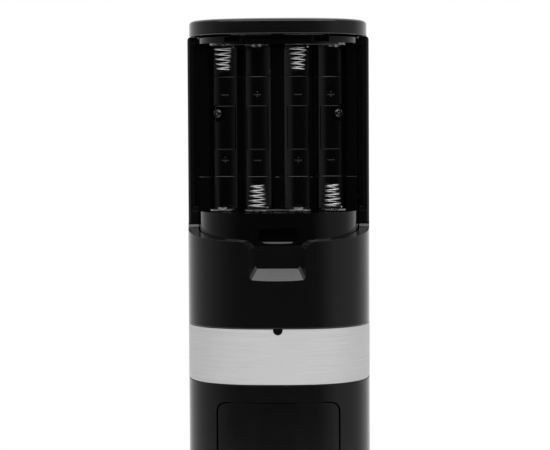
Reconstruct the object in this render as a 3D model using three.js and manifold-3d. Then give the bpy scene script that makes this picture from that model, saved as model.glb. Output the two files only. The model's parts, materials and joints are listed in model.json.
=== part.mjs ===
// Battery-powered pepper mill: a soft-square upright body in three storeys. The head holds four
// cells, a push button, a motor and a two-stage planetary gearbox, and lifts off the container.
// The container holds the pepper, a refill hatch and a conical burr grinder with its adjuster.
// Millimetres, +Z up, origin at the centre of the base. The battery side faces -Y.
import * as THREE from "three";
import { mergeVertices } from "three/addons/utils/BufferGeometryUtils.js";
import Module from "manifold-3d";

const wasm = await Module();
wasm.setup();

// ---------------------------------------------------------------- driving dimensions

const clearance = 0.3; // between neighbours that touch, pass through or turn against each other
const overrun = 1; // how far a cutter runs past a face, and a joined shape into its neighbour
const bodyHalf = 27.5; // half of the body's width and depth
const cornerExponent = 2.5; // superellipse exponent of the soft-square section
const outlineSides = 40;
const largeCircleSides = 32;
const circleSides = 20;
const mediumCircleSides = 16;
const smallCircleSides = 10;
const tinyCircleSides = 8;
const arcSegments = 4; // per quarter turn of a rounded corner
const weldTolerance = 1e-4; // vertices nearer than this are one

// Storeys, from the base up
const baseHeight = 13.7;
const containerLength = 83.85;
const bandShadow = 0.35; // dark gap under the steel band
const bandHeight = 16;
const headLength = 85.7;
const capHeight = 4.5;

// Walls
const containerWall = 3.3;
const headWall = 3.1;
const bandWall = 0.8;
const neckInset = 1.1; // neck's outer face behind the body's outer face
const spigotWall = 1.5;
const spigotLength = 4.3;

// Key tab of the head and its notch in the band
const keyWidth = 2.5;
const keyLength = 2;
const keyThickness = 0.7;
const keyInset = 0.05; // its face behind the body's outer face
const keyArcSteps = 8;

// Battery compartment
const rimFrontHeight = 25.4; // front of the door seat above the head's lower edge
const rimRise = 3.4; // how much higher the seat is at the sides
const cutPlaneY = -2; // the side walls' front faces
const drumWall = 1.5;
const ceilingThickness = 1.8;
const compartmentHeight = 50.2;
const floorThickness = 1.8;
const frameBackY = -2.5;
const ceilingLipDrop = 0.9;
const ceilingLipWall = 1.1;
const troughRadius = 5.6;
const reliefMargin = 2.5;
const reliefEndGap = 2;
const shelfFrontGap = 2; // from the back of the battery frame to the switch shelf
const shelfInset = 1; // how much narrower the shelf is than the board, on each side
const innerBayX = 0.253; // the bays' places and ridges, as shares of the battery frame's half width
const outerBayX = 0.689;
const innerBayY = 0.606;
const outerBayY = 0.461;
const sideWallShare = 0.332;
const outerRidgeShare = 0.4274; // between an inner and an outer bay
const centreRidgeShare = 0.5394; // between the two inner bays
const doorGrooveWidth = 0.7;
const doorGrooveDepth = 1.5;
const doorGrooveInset = 2; // from the body's outer face to the groove
const doorGrooveRise = 1; // its lower end above the compartment's floor
const latchWidth = 11.4;
const latchHeight = 3.8;
const tabSlotWidth = 4.6;
const tabSlotHeight = 1.7;
const tabSlotCentreX = 13;
const tabSlotDepth = 5.5;

// Finger notch under the latch
const notchOuterWidth = 16.6;
const notchInnerWidth = 13;
const notchDrop = 8; // back wall's lower edge below the seat
const notchLipDrop = 3.4; // fall of the sloped lip
const notchWall = 1.6;
const notchFootDepth = 2;

// Frame screws
const frameScrewInset = 5.6; // from the battery frame's side
const frameScrewBelowCeiling = 20.5;
const frameScrewLength = 12;
const screwShankRadius = 1.1;
const screwHeadRadius = 1.8;
const screwHeadHeight = 1.3;
const counterboreRadius = 2.5;
const counterboreFloor = 1.4;
const bossRadius = 3;
const crossSlotHalfWidth = 0.3;
const crossSlotHalfLength = 1.1;

// Battery contacts
const plateThickness = 0.4;
const plateRadius = 3.8;
const strapWidth = 2.4;
const contactNubRadius = 1.6;
const contactNubHeight = 0.6;
const tagWidth = 2;
const tagReach = 4; // below the compartment's floor
const contactSpringLength = 7.2;
const contactSpringBaseRadius = 3.05;
const contactSpringTipRadius = 2;
const contactSpringTurns = 4.5;
const contactWireRadius = 0.28;

// Cap, button and switch
const capPlate = 2.1;
const capWall = 3.1;
const buttonRadius = 14.6;
const buttonFlangeWidth = 1.8;
const buttonFlangeThickness = 0.9;
const buttonTravel = 1.2;
const buttonStemRadius = 2;
const buttonOffsetY = 8.5; // stem, switch and spring stand behind the battery frame
const switchSize = 6;
const switchBodyHeight = 3.6;
const switchPlungerRadius = 1.6;
const switchPlungerHeight = 1.4;
const boardWidth = 18;
const boardDepth = 13;
const boardThickness = 1.2;
const shelfThickness = 1.6;
const shelfBelowTop = 12;
const buttonSpringRadius = 5.2;
const buttonSpringTurns = 4;
const buttonWireRadius = 0.3;

// Motor
const webHeight = 3.8; // underside of the head's web above the head's lower edge
const webThickness = 2;
const webHoleRadius = 14.5;
const motorPlateThickness = 2;
const motorRadius = 12;
const motorLength = 26;
const motorBossRadius = 3.5;
const motorBossHeight = 1.2;
const motorLugInset = 4; // from the can's outer face
const motorLugY = 3;
const motorLugHalfWidth = 1;
const motorLugHalfThickness = 0.2;
const motorShaftRadius = 1.15;
const motorScrewRing = 8;
const motorScrewLength = 3.4;
const smallScrewShank = 0.8;
const smallScrewHead = 1.5;
const smallScrewHeadHeight = 0.8;

// Planetary gearbox: both stages share one ring gear
const gearboxInset = 8.2; // ring gear's pitch circle inside the head's inner faces
const sunTeeth = 12;
const planetTeeth = 12;
const ringTeeth = sunTeeth + 2 * planetTeeth;
const planetCount = 3;
const pressureAngle = THREE.MathUtils.degToRad(25);
const addendum = 0.85;
const ringAddendum = 0.65;
const dedendum = 1.12;
const gearBacklash = 0.12;
const gearWidth = 4.6;
const gearEndGap = 0.5;
const carrierThickness = 1.6;
const carrierInset = 1.6; // inside the ring gear's pitch circle
const planetPinRadius = 1.5;
const planetPinRecess = 0.2; // pin's end below the planet's face
const sunEndGap = 0.1;
const pinionBoreGap = 0.05;
const planetBoreRadius = 1.8;
const ringGearWall = 1.8;
const cupWall = 1.5;
const cupFloor = 2;
const cupFlangeThickness = 1.5;
const cupScrewInset = 1.2; // screw circle's radius less than the head's inner half width
const cupFloorInset = 0.5; // how far the cup's floor and flange reach into its wall
const cupScrewLength = 7;

// Drive line
const shaftAcrossFlats = 6;
const socketRadius = 5.2;
const socketLength = 8.7;
const socketEngagement = 7.5;
const bushWall = 1.5;

// Refill hatch
const hatchWidth = 35.5;
const hatchHeight = 47.05;
const hatchBelowContainerTop = 5.55;
const hatchGap = 0.35;
const hatchCornerRadius = 2.4;
const hatchThickness = 2.2;
const hatchLip = 2.5;
const hatchAxisInset = 1.2; // hinge axis behind the outer face and above the hatch's lower edge
const hatchPinRadius = 0.6;
const hatchPinLength = 17.4;
const hatchEarInnerX = 6.3;
const hatchEarWidth = 2.7;
const hatchEarBackY = 1.6;
const hatchEarFrontInset = 0.4;
const hatchEarFoot = 1.5;
const scoopRadius = 14;
const scoopWidth = 13;
const scoopDepth = 0.9;

// Chamber floor and grinder
const ledgeHeight = 30; // underside of the container's ledge above the base
const ledgeThickness = 2;
const ledgeHoleRadius = 16.5;
const funnelHeight = 12.2;
const funnelWall = 1.5;
const funnelThroatRadius = 15.5;
const funnelThroatHeight = 2.2;
const funnelCollarStep = 1;
const funnelCollarHeight = 2.9;
const funnelRimHeight = 1.5;
const armDrop = 1; // top of the arms below the hub's
const hubRadius = 6.4;
const hubHeight = 4.6;
const armWidth = 2.6;
const armCount = 3;
const guideBushWall = 1;
const holderFlangeThickness = 1.8;
const holderWall = 2.7;
const holderLip = 1.8;
const statorRadius = 16;
const statorHeight = 12.7;
const statorTopRadius = 13.4;
const statorBottomRadius = 11.4;
const statorTeeth = 16;
const rotorTopRadius = 6.4;
const rotorBottomRadius = 10.2;
const rotorTeeth = 10;
const burrToothDepth = 0.9;
const rotorTwist = THREE.MathUtils.degToRad(35);
const rotorFloor = 1.5;
const toothRiseShare = 0.85; // of a tooth's pitch
const bridgeThickness = 3.2;
const bridgeHubRadius = 5;
const bridgeHubHeight = 5.5;
const bridgeHubDrop = 1.2; // hub's top below the ring's
const burrSpringRadius = 4.5;
const burrSpringTurns = 2;
const burrWireRadius = 0.3;
const springStepsPerTurn = 8;
const springSides = 5;

// Coarseness adjuster
const thrustPinDrop = 1.3; // its top below the stator burr
const thrustPinRadius = 1.5;
const thrustPinLength = 2;
const adjusterScrewRadius = 2.5;
const knobRadius = 10;
const knobHeight = 5.3;
const knobAboveTable = 1.2;
const knobRibs = 12;
const knobRibDepth = 0.8;
const pointsPerRib = 4;

// Wiring
const wireRadius = 0.6;
const wireSteps = 17;
const wireSway = 2; // sideways bow past a straight run
const wireDip = 3; // fall from a tag before the wire turns up
const wireRise = 6; // height of a bend
const wireBackY = 8; // line the wires follow behind the battery frame
const wireLugDrop = 0.2; // wire's end below a motor lug's top

// ---------------------------------------------------------------- levels, from the base up

const containerBottom = baseHeight + clearance;
const containerTop = containerBottom + containerLength;
const bandBottom = containerTop + bandShadow;
const bandTop = bandBottom + bandHeight;
const headBottom = bandTop + clearance;
const headTop = headBottom + headLength;
const capBottom = headTop + clearance;
const capTop = capBottom + capHeight;

const containerInner = bodyHalf - containerWall;
const neckOuter = bodyHalf - neckInset;
const neckTop = bandTop - clearance;
const headInner = bodyHalf - headWall;
const drumHalf = headInner - clearance;

const bayX = [outerBayX, innerBayX].map((share) => share * drumHalf);
const bayY = [-outerBayY, -innerBayY].map((share) => share * drumHalf);
const sideWallFrontY = -sideWallShare * drumHalf;
const ridgeOuterY = -outerRidgeShare * drumHalf;
const ridgeCentreY = -centreRidgeShare * drumHalf;
const frameScrewX = drumHalf - frameScrewInset;

const rimFront = headBottom + rimFrontHeight;
const rimSide = rimFront + rimRise;
const frameTop = headTop;
const ceiling = frameTop - ceilingThickness;
const compartmentFloor = ceiling - compartmentHeight;
const frameBottom = rimFront - clearance * 3;
const screwLevel = ceiling - frameScrewBelowCeiling;

const ringPitchRadius = headInner - gearboxInset;
const gearModule = (2 * ringPitchRadius) / ringTeeth;
const carrierRadius = ringPitchRadius - carrierInset;
const cupScrewRing = headInner - cupScrewInset;

const webBottom = headBottom + webHeight;
const motorPlateTop = webBottom - clearance;
const motorPlateBottom = motorPlateTop - motorPlateThickness;
const cupTop = motorPlateBottom - clearance;
const firstPlanetsBottom = motorPlateBottom - gearEndGap - gearWidth;
const firstCarrierTop = firstPlanetsBottom - clearance;
const firstCarrierBottom = firstCarrierTop - carrierThickness;
const secondPlanetsBottom = firstCarrierBottom - clearance - gearWidth;
const secondCarrierTop = secondPlanetsBottom - clearance;
const secondCarrierBottom = secondCarrierTop - carrierThickness;
const cupInside = secondCarrierBottom - clearance;
const cupBottom = cupInside - cupFloor;
const socketBottom = secondCarrierBottom - socketLength;

const hatchTop = containerTop - hatchBelowContainerTop;
const hatchBottom = hatchTop - hatchHeight;
const hatchAxisY = -bodyHalf + hatchAxisInset;
const hatchAxisZ = hatchBottom + hatchAxisInset;

const ledgeTop = ledgeHeight + ledgeThickness;
const funnelBottom = ledgeTop + clearance;
const holderTop = ledgeHeight - clearance;
const statorTop = holderTop;
const statorBottom = statorTop - statorHeight;
const holderBottom = statorBottom - clearance - holderLip;
const bridgeTop = holderBottom - clearance;
const thrustPinTop = statorBottom - thrustPinDrop;
const rotorBottom = thrustPinTop + clearance;
const rotorTop = statorTop;
const shaftBottom = rotorBottom + rotorFloor + clearance;
const shaftTop = socketBottom + socketEngagement;
const knobTop = knobAboveTable + knobHeight;
const adjusterTop = thrustPinTop - thrustPinLength - clearance;

// ---------------------------------------------------------------- shape helpers

// Points of a soft-square outline, counter-clockwise.
function softSquare(half, sides = outlineSides) {
  const points = [];
  for (let i = 0; i < sides; i++) {
    const t = (i / sides) * 2 * Math.PI;
    const c = Math.cos(t);
    const s = Math.sin(t);
    const r = half / (Math.abs(c) ** cornerExponent + Math.abs(s) ** cornerExponent) ** (1 / cornerExponent);
    points.push(new THREE.Vector2(r * c, r * s));
  }
  return points;
}

function circle(radius, sides = circleSides, x = 0, y = 0) {
  const points = [];
  for (let i = 0; i < sides; i++) {
    const t = (i / sides) * 2 * Math.PI;
    points.push(new THREE.Vector2(x + radius * Math.cos(t), y + radius * Math.sin(t)));
  }
  return points;
}

function hexagon(acrossFlats) {
  return circle(acrossFlats / Math.sqrt(3), 6);
}

function roundedRectangle(x0, x1, y0, y1, radius) {
  const shape = new THREE.Shape();
  shape.moveTo(x0 + radius, y0);
  shape.lineTo(x1 - radius, y0);
  shape.absarc(x1 - radius, y0 + radius, radius, -Math.PI / 2, 0);
  shape.lineTo(x1, y1 - radius);
  shape.absarc(x1 - radius, y1 - radius, radius, 0, Math.PI / 2);
  shape.lineTo(x0 + radius, y1);
  shape.absarc(x0 + radius, y1 - radius, radius, Math.PI / 2, Math.PI);
  shape.lineTo(x0, y0 + radius);
  shape.absarc(x0 + radius, y0 + radius, radius, Math.PI, Math.PI * 1.5);
  return shape;
}

// Upright prism of an outline, a list of points or a THREE.Shape, from z0 to z1.
function prism(outline, z0, z1, hole = null) {
  const shape = outline instanceof THREE.Shape ? outline : new THREE.Shape(outline);
  if (hole) shape.holes.push(new THREE.Path(hole));
  const geometry = new THREE.ExtrudeGeometry(shape, {
    depth: z1 - z0,
    bevelEnabled: false,
    curveSegments: arcSegments,
  });
  return geometry.translate(0, 0, z0);
}

// The same along Y: the outline's points are (x, z), and the prism runs from y0 to y1.
function prismY(outline, y0, y1) {
  return prism(outline, -y1, -y0).rotateX(Math.PI / 2);
}

// The same along X: the outline's points are (y, z), and the prism runs from x0 to x1.
function prismX(outline, x0, x1) {
  const geometry = prism(outline, x0, x1);
  return geometry.applyMatrix4(new THREE.Matrix4().set(0, 0, 1, 0, 1, 0, 0, 0, 0, 1, 0, 0, 0, 0, 0, 1));
}

function block(x0, x1, y0, y1, z0, z1) {
  const geometry = new THREE.BoxGeometry(x1 - x0, y1 - y0, z1 - z0);
  return geometry.translate((x0 + x1) / 2, (y0 + y1) / 2, (z0 + z1) / 2);
}

// Solid of revolution about Z of a closed or axis-to-axis profile of [radius, z] pairs.
function revolve(profile, sides = largeCircleSides) {
  const points = profile.map(([r, z]) => new THREE.Vector2(r, z));
  return new THREE.LatheGeometry(points, sides).rotateX(Math.PI / 2);
}

// A thin upright rod, or the drill that makes a hole of that size.
function drill(radius, z0, z1, x = 0, y = 0) {
  return prism(circle(radius, smallCircleSides, x, y), z0, z1);
}

function disc(radius, z0, z1, hole = null) {
  return prism(circle(radius, largeCircleSides), z0, z1, hole);
}

function tube(innerRadius, outerRadius, z0, z1, sides = circleSides) {
  return prism(circle(outerRadius, sides), z0, z1, circle(innerRadius, sides));
}

// A coil that goes from one radius at z0 to another at z1, about an upright axis.
class Coil extends THREE.Curve {
  constructor(r0, r1, z0, z1, turns) {
    super();
    Object.assign(this, { r0, r1, z0, z1, turns });
  }

  getPoint(t, target = new THREE.Vector3()) {
    const angle = t * this.turns * 2 * Math.PI;
    const r = this.r0 + (this.r1 - this.r0) * t;
    return target.set(r * Math.cos(angle), r * Math.sin(angle), this.z0 + (this.z1 - this.z0) * t);
  }
}

function rod(curve, radius, steps, sides) {
  const section = new THREE.Shape(circle(radius, sides));
  return new THREE.ExtrudeGeometry(section, { steps, extrudePath: curve, bevelEnabled: false });
}

function spring(r0, r1, z0, z1, turns, wire) {
  return rod(new Coil(r0, r1, z0, z1, turns), wire, Math.round(turns * springStepsPerTurn), springSides);
}

// A prism whose section shrinks or grows and turns on the way up.
function taperedPrism(outline, z0, z1, topScale, twist, steps) {
  const geometry = new THREE.ExtrudeGeometry(new THREE.Shape(outline), {
    depth: z1 - z0,
    steps,
    bevelEnabled: false,
  });
  const position = geometry.getAttribute("position");
  const point = new THREE.Vector3();
  const up = new THREE.Vector3(0, 0, 1);
  for (let i = 0; i < position.count; i++) {
    point.fromBufferAttribute(position, i);
    const t = point.z / (z1 - z0);
    const scale = 1 + (topScale - 1) * t;
    point.set(point.x * scale, point.y * scale, point.z).applyAxisAngle(up, twist * t);
    position.setXYZ(i, point.x, point.y, point.z + z0);
  }
  return geometry;
}

// ---------------------------------------------------------------- joining and cutting

function signedVolume(triangles, vertices) {
  const [a, b, c] = [new THREE.Vector3(), new THREE.Vector3(), new THREE.Vector3()];
  let volume = 0;
  for (let i = 0; i < triangles.length; i += 3) {
    a.fromArray(vertices, triangles[i] * 3);
    b.fromArray(vertices, triangles[i + 1] * 3);
    c.fromArray(vertices, triangles[i + 2] * 3);
    volume += a.dot(b.cross(c)) / 6;
  }
  return volume;
}

// A closed geometry as a manifold-3d solid, with its faces turned outwards.
function solid(geometry) {
  const bare = new THREE.BufferGeometry();
  bare.setAttribute("position", geometry.getAttribute("position").clone());
  if (geometry.index) bare.setIndex(geometry.index.clone());
  const merged = mergeVertices(bare, weldTolerance);
  const triangles = [];
  for (let i = 0; i < merged.index.count; i += 3) {
    const corners = [0, 1, 2].map((k) => merged.index.getX(i + k));
    if (new Set(corners).size === corners.length) triangles.push(...corners);
  }
  const vertices = merged.getAttribute("position").array;
  if (signedVolume(triangles, vertices) < 0) triangles.reverse();
  return new wasm.Manifold(
    new wasm.Mesh({ numProp: 3, vertProperties: vertices, triVerts: new Uint32Array(triangles) }),
  );
}

function join(...geometries) {
  return geometries.map(solid).reduce((whole, piece) => whole.add(piece));
}

function asSolid(shape) {
  return shape.isBufferGeometry ? solid(shape) : shape;
}

function cut(shape, ...tools) {
  return tools.map(asSolid).reduce((whole, tool) => whole.subtract(tool), asSolid(shape));
}

function common(first, second) {
  return asSolid(first).intersect(asSolid(second));
}

function geometryOf(shape) {
  if (shape.isBufferGeometry) return geometryOf(solid(shape));
  const mesh = shape.getMesh();
  return new THREE.BufferGeometry()
    .setAttribute("position", new THREE.BufferAttribute(new Float32Array(mesh.vertProperties), 3))
    .setIndex(new THREE.BufferAttribute(new Uint32Array(mesh.triVerts), 1))
    .toNonIndexed();
}

// ---------------------------------------------------------------- materials

function finish(color, roughness, metalness) {
  const material = new THREE.MeshStandardMaterial({ color, roughness, metalness, flatShading: true });
  return () => material.clone();
}

const blackGloss = finish(0x101011, 0.25, 0);
const blackMatte = finish(0x161616, 0.6, 0);
const brushedSteel = finish(0xbfc0c2, 0.32, 1);
const springSteel = finish(0xd8d8d6, 0.25, 1);
const nickelPlate = finish(0xb9b7b0, 0.3, 1);
const darkSteel = finish(0x5b5c60, 0.4, 1);
const motorZinc = finish(0xa3a6aa, 0.4, 1);
const whiteNylon = finish(0xe6e2d6, 0.5, 0);
const naturalAcetal = finish(0xd9d5c6, 0.45, 0);
const ceramic = finish(0xf0eee8, 0.55, 0);
const bronze = finish(0xa8763e, 0.4, 1);
const boardGreen = finish(0x1f5a38, 0.5, 0);
const redWire = finish(0xb01c1c, 0.5, 0);
const blackWire = finish(0x1a1a1a, 0.5, 0);

const mill = new THREE.Group();

function piece(parent, name, shape, material, x = 0, y = 0) {
  const mesh = new THREE.Mesh(geometryOf(shape), material());
  mesh.name = name;
  mesh.position.set(x, y, 0);
  parent.add(mesh);
  return mesh;
}

// ---------------------------------------------------------------- container

function hatchOutline(margin, top = hatchTop + margin) {
  const radius = hatchCornerRadius + margin;
  const half = hatchWidth / 2 + margin;
  return roundedRectangle(-half, half, hatchBottom - margin, top, radius);
}

// The front stretch of a soft-square wall, as seen through an outline in the XZ plane.
function frontShell(outline, innerHalf, outerHalf) {
  const window = prismY(outline, -2 * bodyHalf, 0);
  const [low, high] = [hatchBottom - 5 * overrun, hatchTop + 5 * overrun];
  const shell = prism(softSquare(outerHalf), low, high, softSquare(innerHalf));
  return common(window, shell);
}

function hatchEar(side) {
  const inner = side * hatchEarInnerX;
  const outer = side * (hatchEarInnerX + hatchEarWidth);
  const [x0, x1] = [Math.min(inner, outer), Math.max(inner, outer)];
  const bottom = hatchBottom - hatchGap - hatchEarFoot;
  const front = hatchAxisY - hatchAxisInset + hatchEarFrontInset;
  return block(x0, x1, front, hatchAxisY + hatchEarBackY, bottom, hatchAxisZ + hatchAxisInset);
}

// A rod along the hatch's hinge axis: the pin itself, or the bore around it.
function hingeRod(radius, halfLength) {
  return prismX(circle(radius, smallCircleSides, hatchAxisY, hatchAxisZ), -halfLength, halfLength);
}

function containerBody() {
  const shell = prism(softSquare(bodyHalf), containerBottom, containerTop, softSquare(containerInner));
  const neck = prism(softSquare(neckOuter), containerTop - 2 * overrun, neckTop, softSquare(containerInner));
  const ledgeHole = circle(ledgeHoleRadius, largeCircleSides);
  const ledge = prism(softSquare(containerInner + overrun), ledgeHeight, ledgeTop, ledgeHole);
  const seatInner = bodyHalf - hatchThickness - clearance;
  const recess = frontShell(hatchOutline(hatchGap), seatInner, bodyHalf + overrun);
  const openingHalf = hatchWidth / 2 - hatchLip;
  const openingBottom = hatchBottom - hatchGap;
  const opening = prismY(
    roundedRectangle(-openingHalf, openingHalf, openingBottom, hatchTop - hatchLip, hatchCornerRadius),
    -2 * bodyHalf,
    0,
  );
  const walled = cut(join(shell, neck, ledge), recess, opening);
  const ears = join(hatchEar(-1), hatchEar(1));
  const bore = hingeRod(hatchPinRadius + clearance / 2, hatchPinLength / 2 + clearance);
  return cut(walled.add(ears), bore);
}

function refillHatch() {
  const panel = frontShell(hatchOutline(0), bodyHalf - hatchThickness, bodyHalf);
  const slots = [-1, 1].map((side) => {
    const centre = side * (hatchEarInnerX + hatchEarWidth / 2);
    const half = hatchEarWidth / 2 + clearance;
    const top = hatchAxisZ + hatchAxisInset + 2 * clearance;
    return block(centre - half, centre + half, -2 * bodyHalf, 0, hatchBottom - overrun, top);
  });
  const edge = hatchAxisInset;
  const chamfer = prismX(
    [
      new THREE.Vector2(-bodyHalf - overrun, hatchBottom + edge / 2),
      new THREE.Vector2(-bodyHalf - overrun, hatchBottom - overrun),
      new THREE.Vector2(-bodyHalf + edge / 2 + overrun, hatchBottom - overrun),
      new THREE.Vector2(-bodyHalf + edge / 2, hatchBottom),
      new THREE.Vector2(-bodyHalf, hatchBottom + edge / 2),
    ],
    -hatchWidth,
    hatchWidth,
  );
  const bore = hingeRod(hatchPinRadius + clearance / 2, hatchWidth);
  const scoopAxis = -bodyHalf - scoopRadius + scoopDepth;
  const scoopOutline = circle(scoopRadius, 4 * circleSides, scoopAxis, hatchTop);
  const scoop = prismX(scoopOutline, -scoopWidth / 2, scoopWidth / 2);
  return cut(panel, ...slots, chamfer, bore, scoop);
}

function keyOutline(margin) {
  const half = keyWidth / 2 + margin;
  const bottom = headBottom - keyLength - margin;
  const top = headBottom + overrun;
  const points = [new THREE.Vector2(half, top), new THREE.Vector2(-half, top)];
  for (let i = 0; i <= keyArcSteps; i++) {
    const t = Math.PI + (i / keyArcSteps) * Math.PI;
    points.push(new THREE.Vector2(half * Math.cos(t), bottom + half + half * Math.sin(t)));
  }
  return points;
}

function steelBand() {
  const ring = prism(softSquare(bodyHalf), bandBottom, bandTop, softSquare(bodyHalf - bandWall));
  return cut(ring, prismY(keyOutline(clearance / 2), -2 * bodyHalf, 0));
}

function baseRing() {
  const inner = containerInner - clearance - spigotWall;
  const skirt = prism(softSquare(bodyHalf), 0, baseHeight, softSquare(inner));
  const spigotTop = baseHeight + spigotLength;
  const outer = softSquare(containerInner - clearance);
  const spigot = prism(outer, baseHeight - overrun, spigotTop, softSquare(inner));
  return join(skirt, spigot);
}

function arms(count, innerRadius, outerRadius, z0, z1) {
  return Array.from({ length: count }, (_, i) => {
    const arm = block(innerRadius, outerRadius, -armWidth / 2, armWidth / 2, z0, z1);
    return arm.rotateZ((i / count) * 2 * Math.PI + Math.PI / 2);
  });
}

// The feed cone over the burrs, with a three-armed hub for the shaft's bush.
function hopperFunnel() {
  const rimRadius = containerInner - clearance;
  const top = funnelBottom + funnelHeight;
  const outerThroat = funnelThroatRadius + funnelWall + funnelCollarStep;
  const cone = revolve([
    [rimRadius, top],
    [rimRadius - funnelWall, top],
    [funnelThroatRadius, funnelBottom + funnelThroatHeight],
    [funnelThroatRadius, funnelBottom],
    [outerThroat, funnelBottom],
    [outerThroat, funnelBottom + funnelCollarHeight],
    [rimRadius, top - funnelRimHeight],
    [rimRadius, top],
  ]);
  const armTop = funnelBottom + hubHeight - armDrop;
  const armEnd = funnelThroatRadius + funnelWall / 2;
  const spider = arms(armCount, hubRadius - overrun, armEnd, funnelBottom, armTop);
  const hub = prism(circle(hubRadius), funnelBottom, funnelBottom + hubHeight);
  const boreTop = funnelBottom + hubHeight + overrun;
  const bore = prism(circle(guideBushRadius() + clearance), funnelBottom - overrun, boreTop);
  return cut(join(cone, hub, ...spider), bore);
}

function shaftCornerRadius() {
  return shaftAcrossFlats / Math.sqrt(3);
}

function guideBushRadius() {
  return shaftCornerRadius() + clearance + guideBushWall;
}

function guideBush() {
  return tube(shaftCornerRadius() + clearance, guideBushRadius(), funnelBottom, funnelBottom + hubHeight);
}

function burrHolder() {
  const inner = statorRadius + clearance;
  const flangeBottom = holderTop - holderFlangeThickness;
  return revolve([
    [inner, holderTop],
    [inner, statorBottom - clearance],
    [inner - holderLip, statorBottom - clearance],
    [inner - holderLip, holderBottom],
    [inner + holderWall, holderBottom],
    [inner + holderWall, flangeBottom],
    [containerInner - clearance, flangeBottom],
    [containerInner - clearance, holderTop],
    [inner, holderTop],
  ]);
}

// Saw-tooth outline of a burr: each tooth rises slowly and drops at once.
function burrOutline(radius, depth, teeth, pointsPerTooth = 3) {
  const points = [];
  for (let i = 0; i < teeth; i++) {
    for (let k = 0; k < pointsPerTooth; k++) {
      const share = k / (pointsPerTooth - 1);
      const angle = ((i + share * toothRiseShare) / teeth) * 2 * Math.PI;
      const r = radius - depth * (1 - share);
      points.push(new THREE.Vector2(r * Math.cos(angle), r * Math.sin(angle)));
    }
  }
  return points;
}

function statorBurr() {
  const body = prism(circle(statorRadius, largeCircleSides), statorBottom, statorTop);
  const bottomOutline = burrOutline(statorBottomRadius + burrToothDepth, burrToothDepth, statorTeeth);
  const slope = (statorTopRadius - statorBottomRadius) / statorHeight;
  const topScale = 1 + (slope * (statorHeight + overrun)) / statorBottomRadius;
  const hole = taperedPrism(bottomOutline, statorBottom, statorTop + overrun, topScale, -rotorTwist / 2, 1);
  const exitOutline = circle(statorBottomRadius + burrToothDepth, largeCircleSides);
  const exit = prism(exitOutline, statorBottom - overrun, statorBottom + overrun);
  return cut(body, hole, exit);
}

function rotorBurr() {
  const outline = burrOutline(rotorBottomRadius, burrToothDepth, rotorTeeth);
  const topScale = rotorTopRadius / rotorBottomRadius;
  const cone = taperedPrism(outline, rotorBottom, rotorTop, topScale, rotorTwist, 2);
  const boreBottom = rotorBottom + rotorFloor;
  return cut(cone, prism(hexagon(shaftAcrossFlats + 2 * clearance), boreBottom, rotorTop + overrun));
}

// The three-armed bridge that carries the adjuster under the burrs.
function grinderBridge() {
  const outer = statorRadius + clearance + holderWall;
  const inner = statorRadius + clearance - holderLip;
  const hubTop = bridgeTop - bridgeHubDrop;
  const bottom = bridgeTop - bridgeThickness;
  const ring = tube(inner, outer, bottom, bridgeTop, largeCircleSides);
  const hub = prism(circle(bridgeHubRadius), hubTop - bridgeHubHeight, hubTop);
  const spokes = arms(armCount, bridgeHubRadius - overrun, inner + overrun, bottom, hubTop);
  const bore = prism(circle(adjusterScrewRadius + clearance), knobTop, bridgeTop + overrun);
  return cut(join(ring, hub, ...spokes), bore);
}

function adjusterKnob() {
  const points = [];
  for (let i = 0; i < knobRibs * pointsPerRib; i++) {
    const r = knobRadius - (i % pointsPerRib < pointsPerRib / 2 ? 0 : knobRibDepth);
    const t = (i / (knobRibs * pointsPerRib)) * 2 * Math.PI;
    points.push(new THREE.Vector2(r * Math.cos(t), r * Math.sin(t)));
  }
  const grip = prism(points, knobAboveTable, knobTop);
  const screw = prism(circle(adjusterScrewRadius), knobTop - overrun, adjusterTop);
  return join(grip, screw);
}

function buildContainer(container) {
  piece(container, "container_body", containerBody(), blackGloss);
  piece(container, "steel_band", steelBand(), brushedSteel);
  piece(container, "base_ring", baseRing(), blackGloss);
  piece(container, "refill_hatch", refillHatch(), blackGloss);
  piece(container, "hatch_hinge_pin", hingeRod(hatchPinRadius, hatchPinLength / 2), nickelPlate);
  piece(container, "hopper_funnel", hopperFunnel(), blackMatte);
  piece(container, "shaft_guide_bush", guideBush(), bronze);
}

function buildGrinder(container) {
  const springBottom = rotorTop + clearance + burrWireRadius;
  const springTop = funnelBottom - clearance - burrWireRadius;
  const r = burrSpringRadius;
  const coil = spring(r, r, springBottom, springTop, burrSpringTurns, burrWireRadius);
  const thrustPinBottom = thrustPinTop - thrustPinLength;
  piece(container, "burr_holder", burrHolder(), blackMatte);
  piece(container, "stator_burr", statorBurr(), ceramic);
  piece(container, "grinder_bridge", grinderBridge(), blackMatte);
  piece(container, "burr_spring", coil, springSteel);
  piece(container, "adjuster_knob", adjusterKnob(), blackMatte);
  piece(container, "thrust_pin", drill(thrustPinRadius, thrustPinBottom, thrustPinTop), darkSteel);
  piece(container, "rotor_burr", rotorBurr(), ceramic);
  piece(container, "drive_shaft", prism(hexagon(shaftAcrossFlats), shaftBottom, shaftTop), darkSteel);
}

// ---------------------------------------------------------------- head shell

// Everything in front of the door seat: over the sloping rim and before the side walls' front faces.
function doorSpace() {
  return prismX(
    [
      new THREE.Vector2(cutPlaneY, headTop + overrun),
      new THREE.Vector2(-2 * bodyHalf, headTop + overrun),
      new THREE.Vector2(-2 * bodyHalf, rimFront),
      new THREE.Vector2(-bodyHalf, rimFront),
      new THREE.Vector2(cutPlaneY, rimSide),
    ],
    -2 * bodyHalf,
    2 * bodyHalf,
  );
}

function doorGroove(side) {
  const outer = bodyHalf - doorGrooveInset;
  const [a, b] = [side * outer, side * (outer - doorGrooveWidth)];
  const bottom = compartmentFloor + doorGrooveRise;
  const back = cutPlaneY + doorGrooveDepth;
  return block(Math.min(a, b), Math.max(a, b), cutPlaneY - overrun, back, bottom, ceiling);
}

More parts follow.
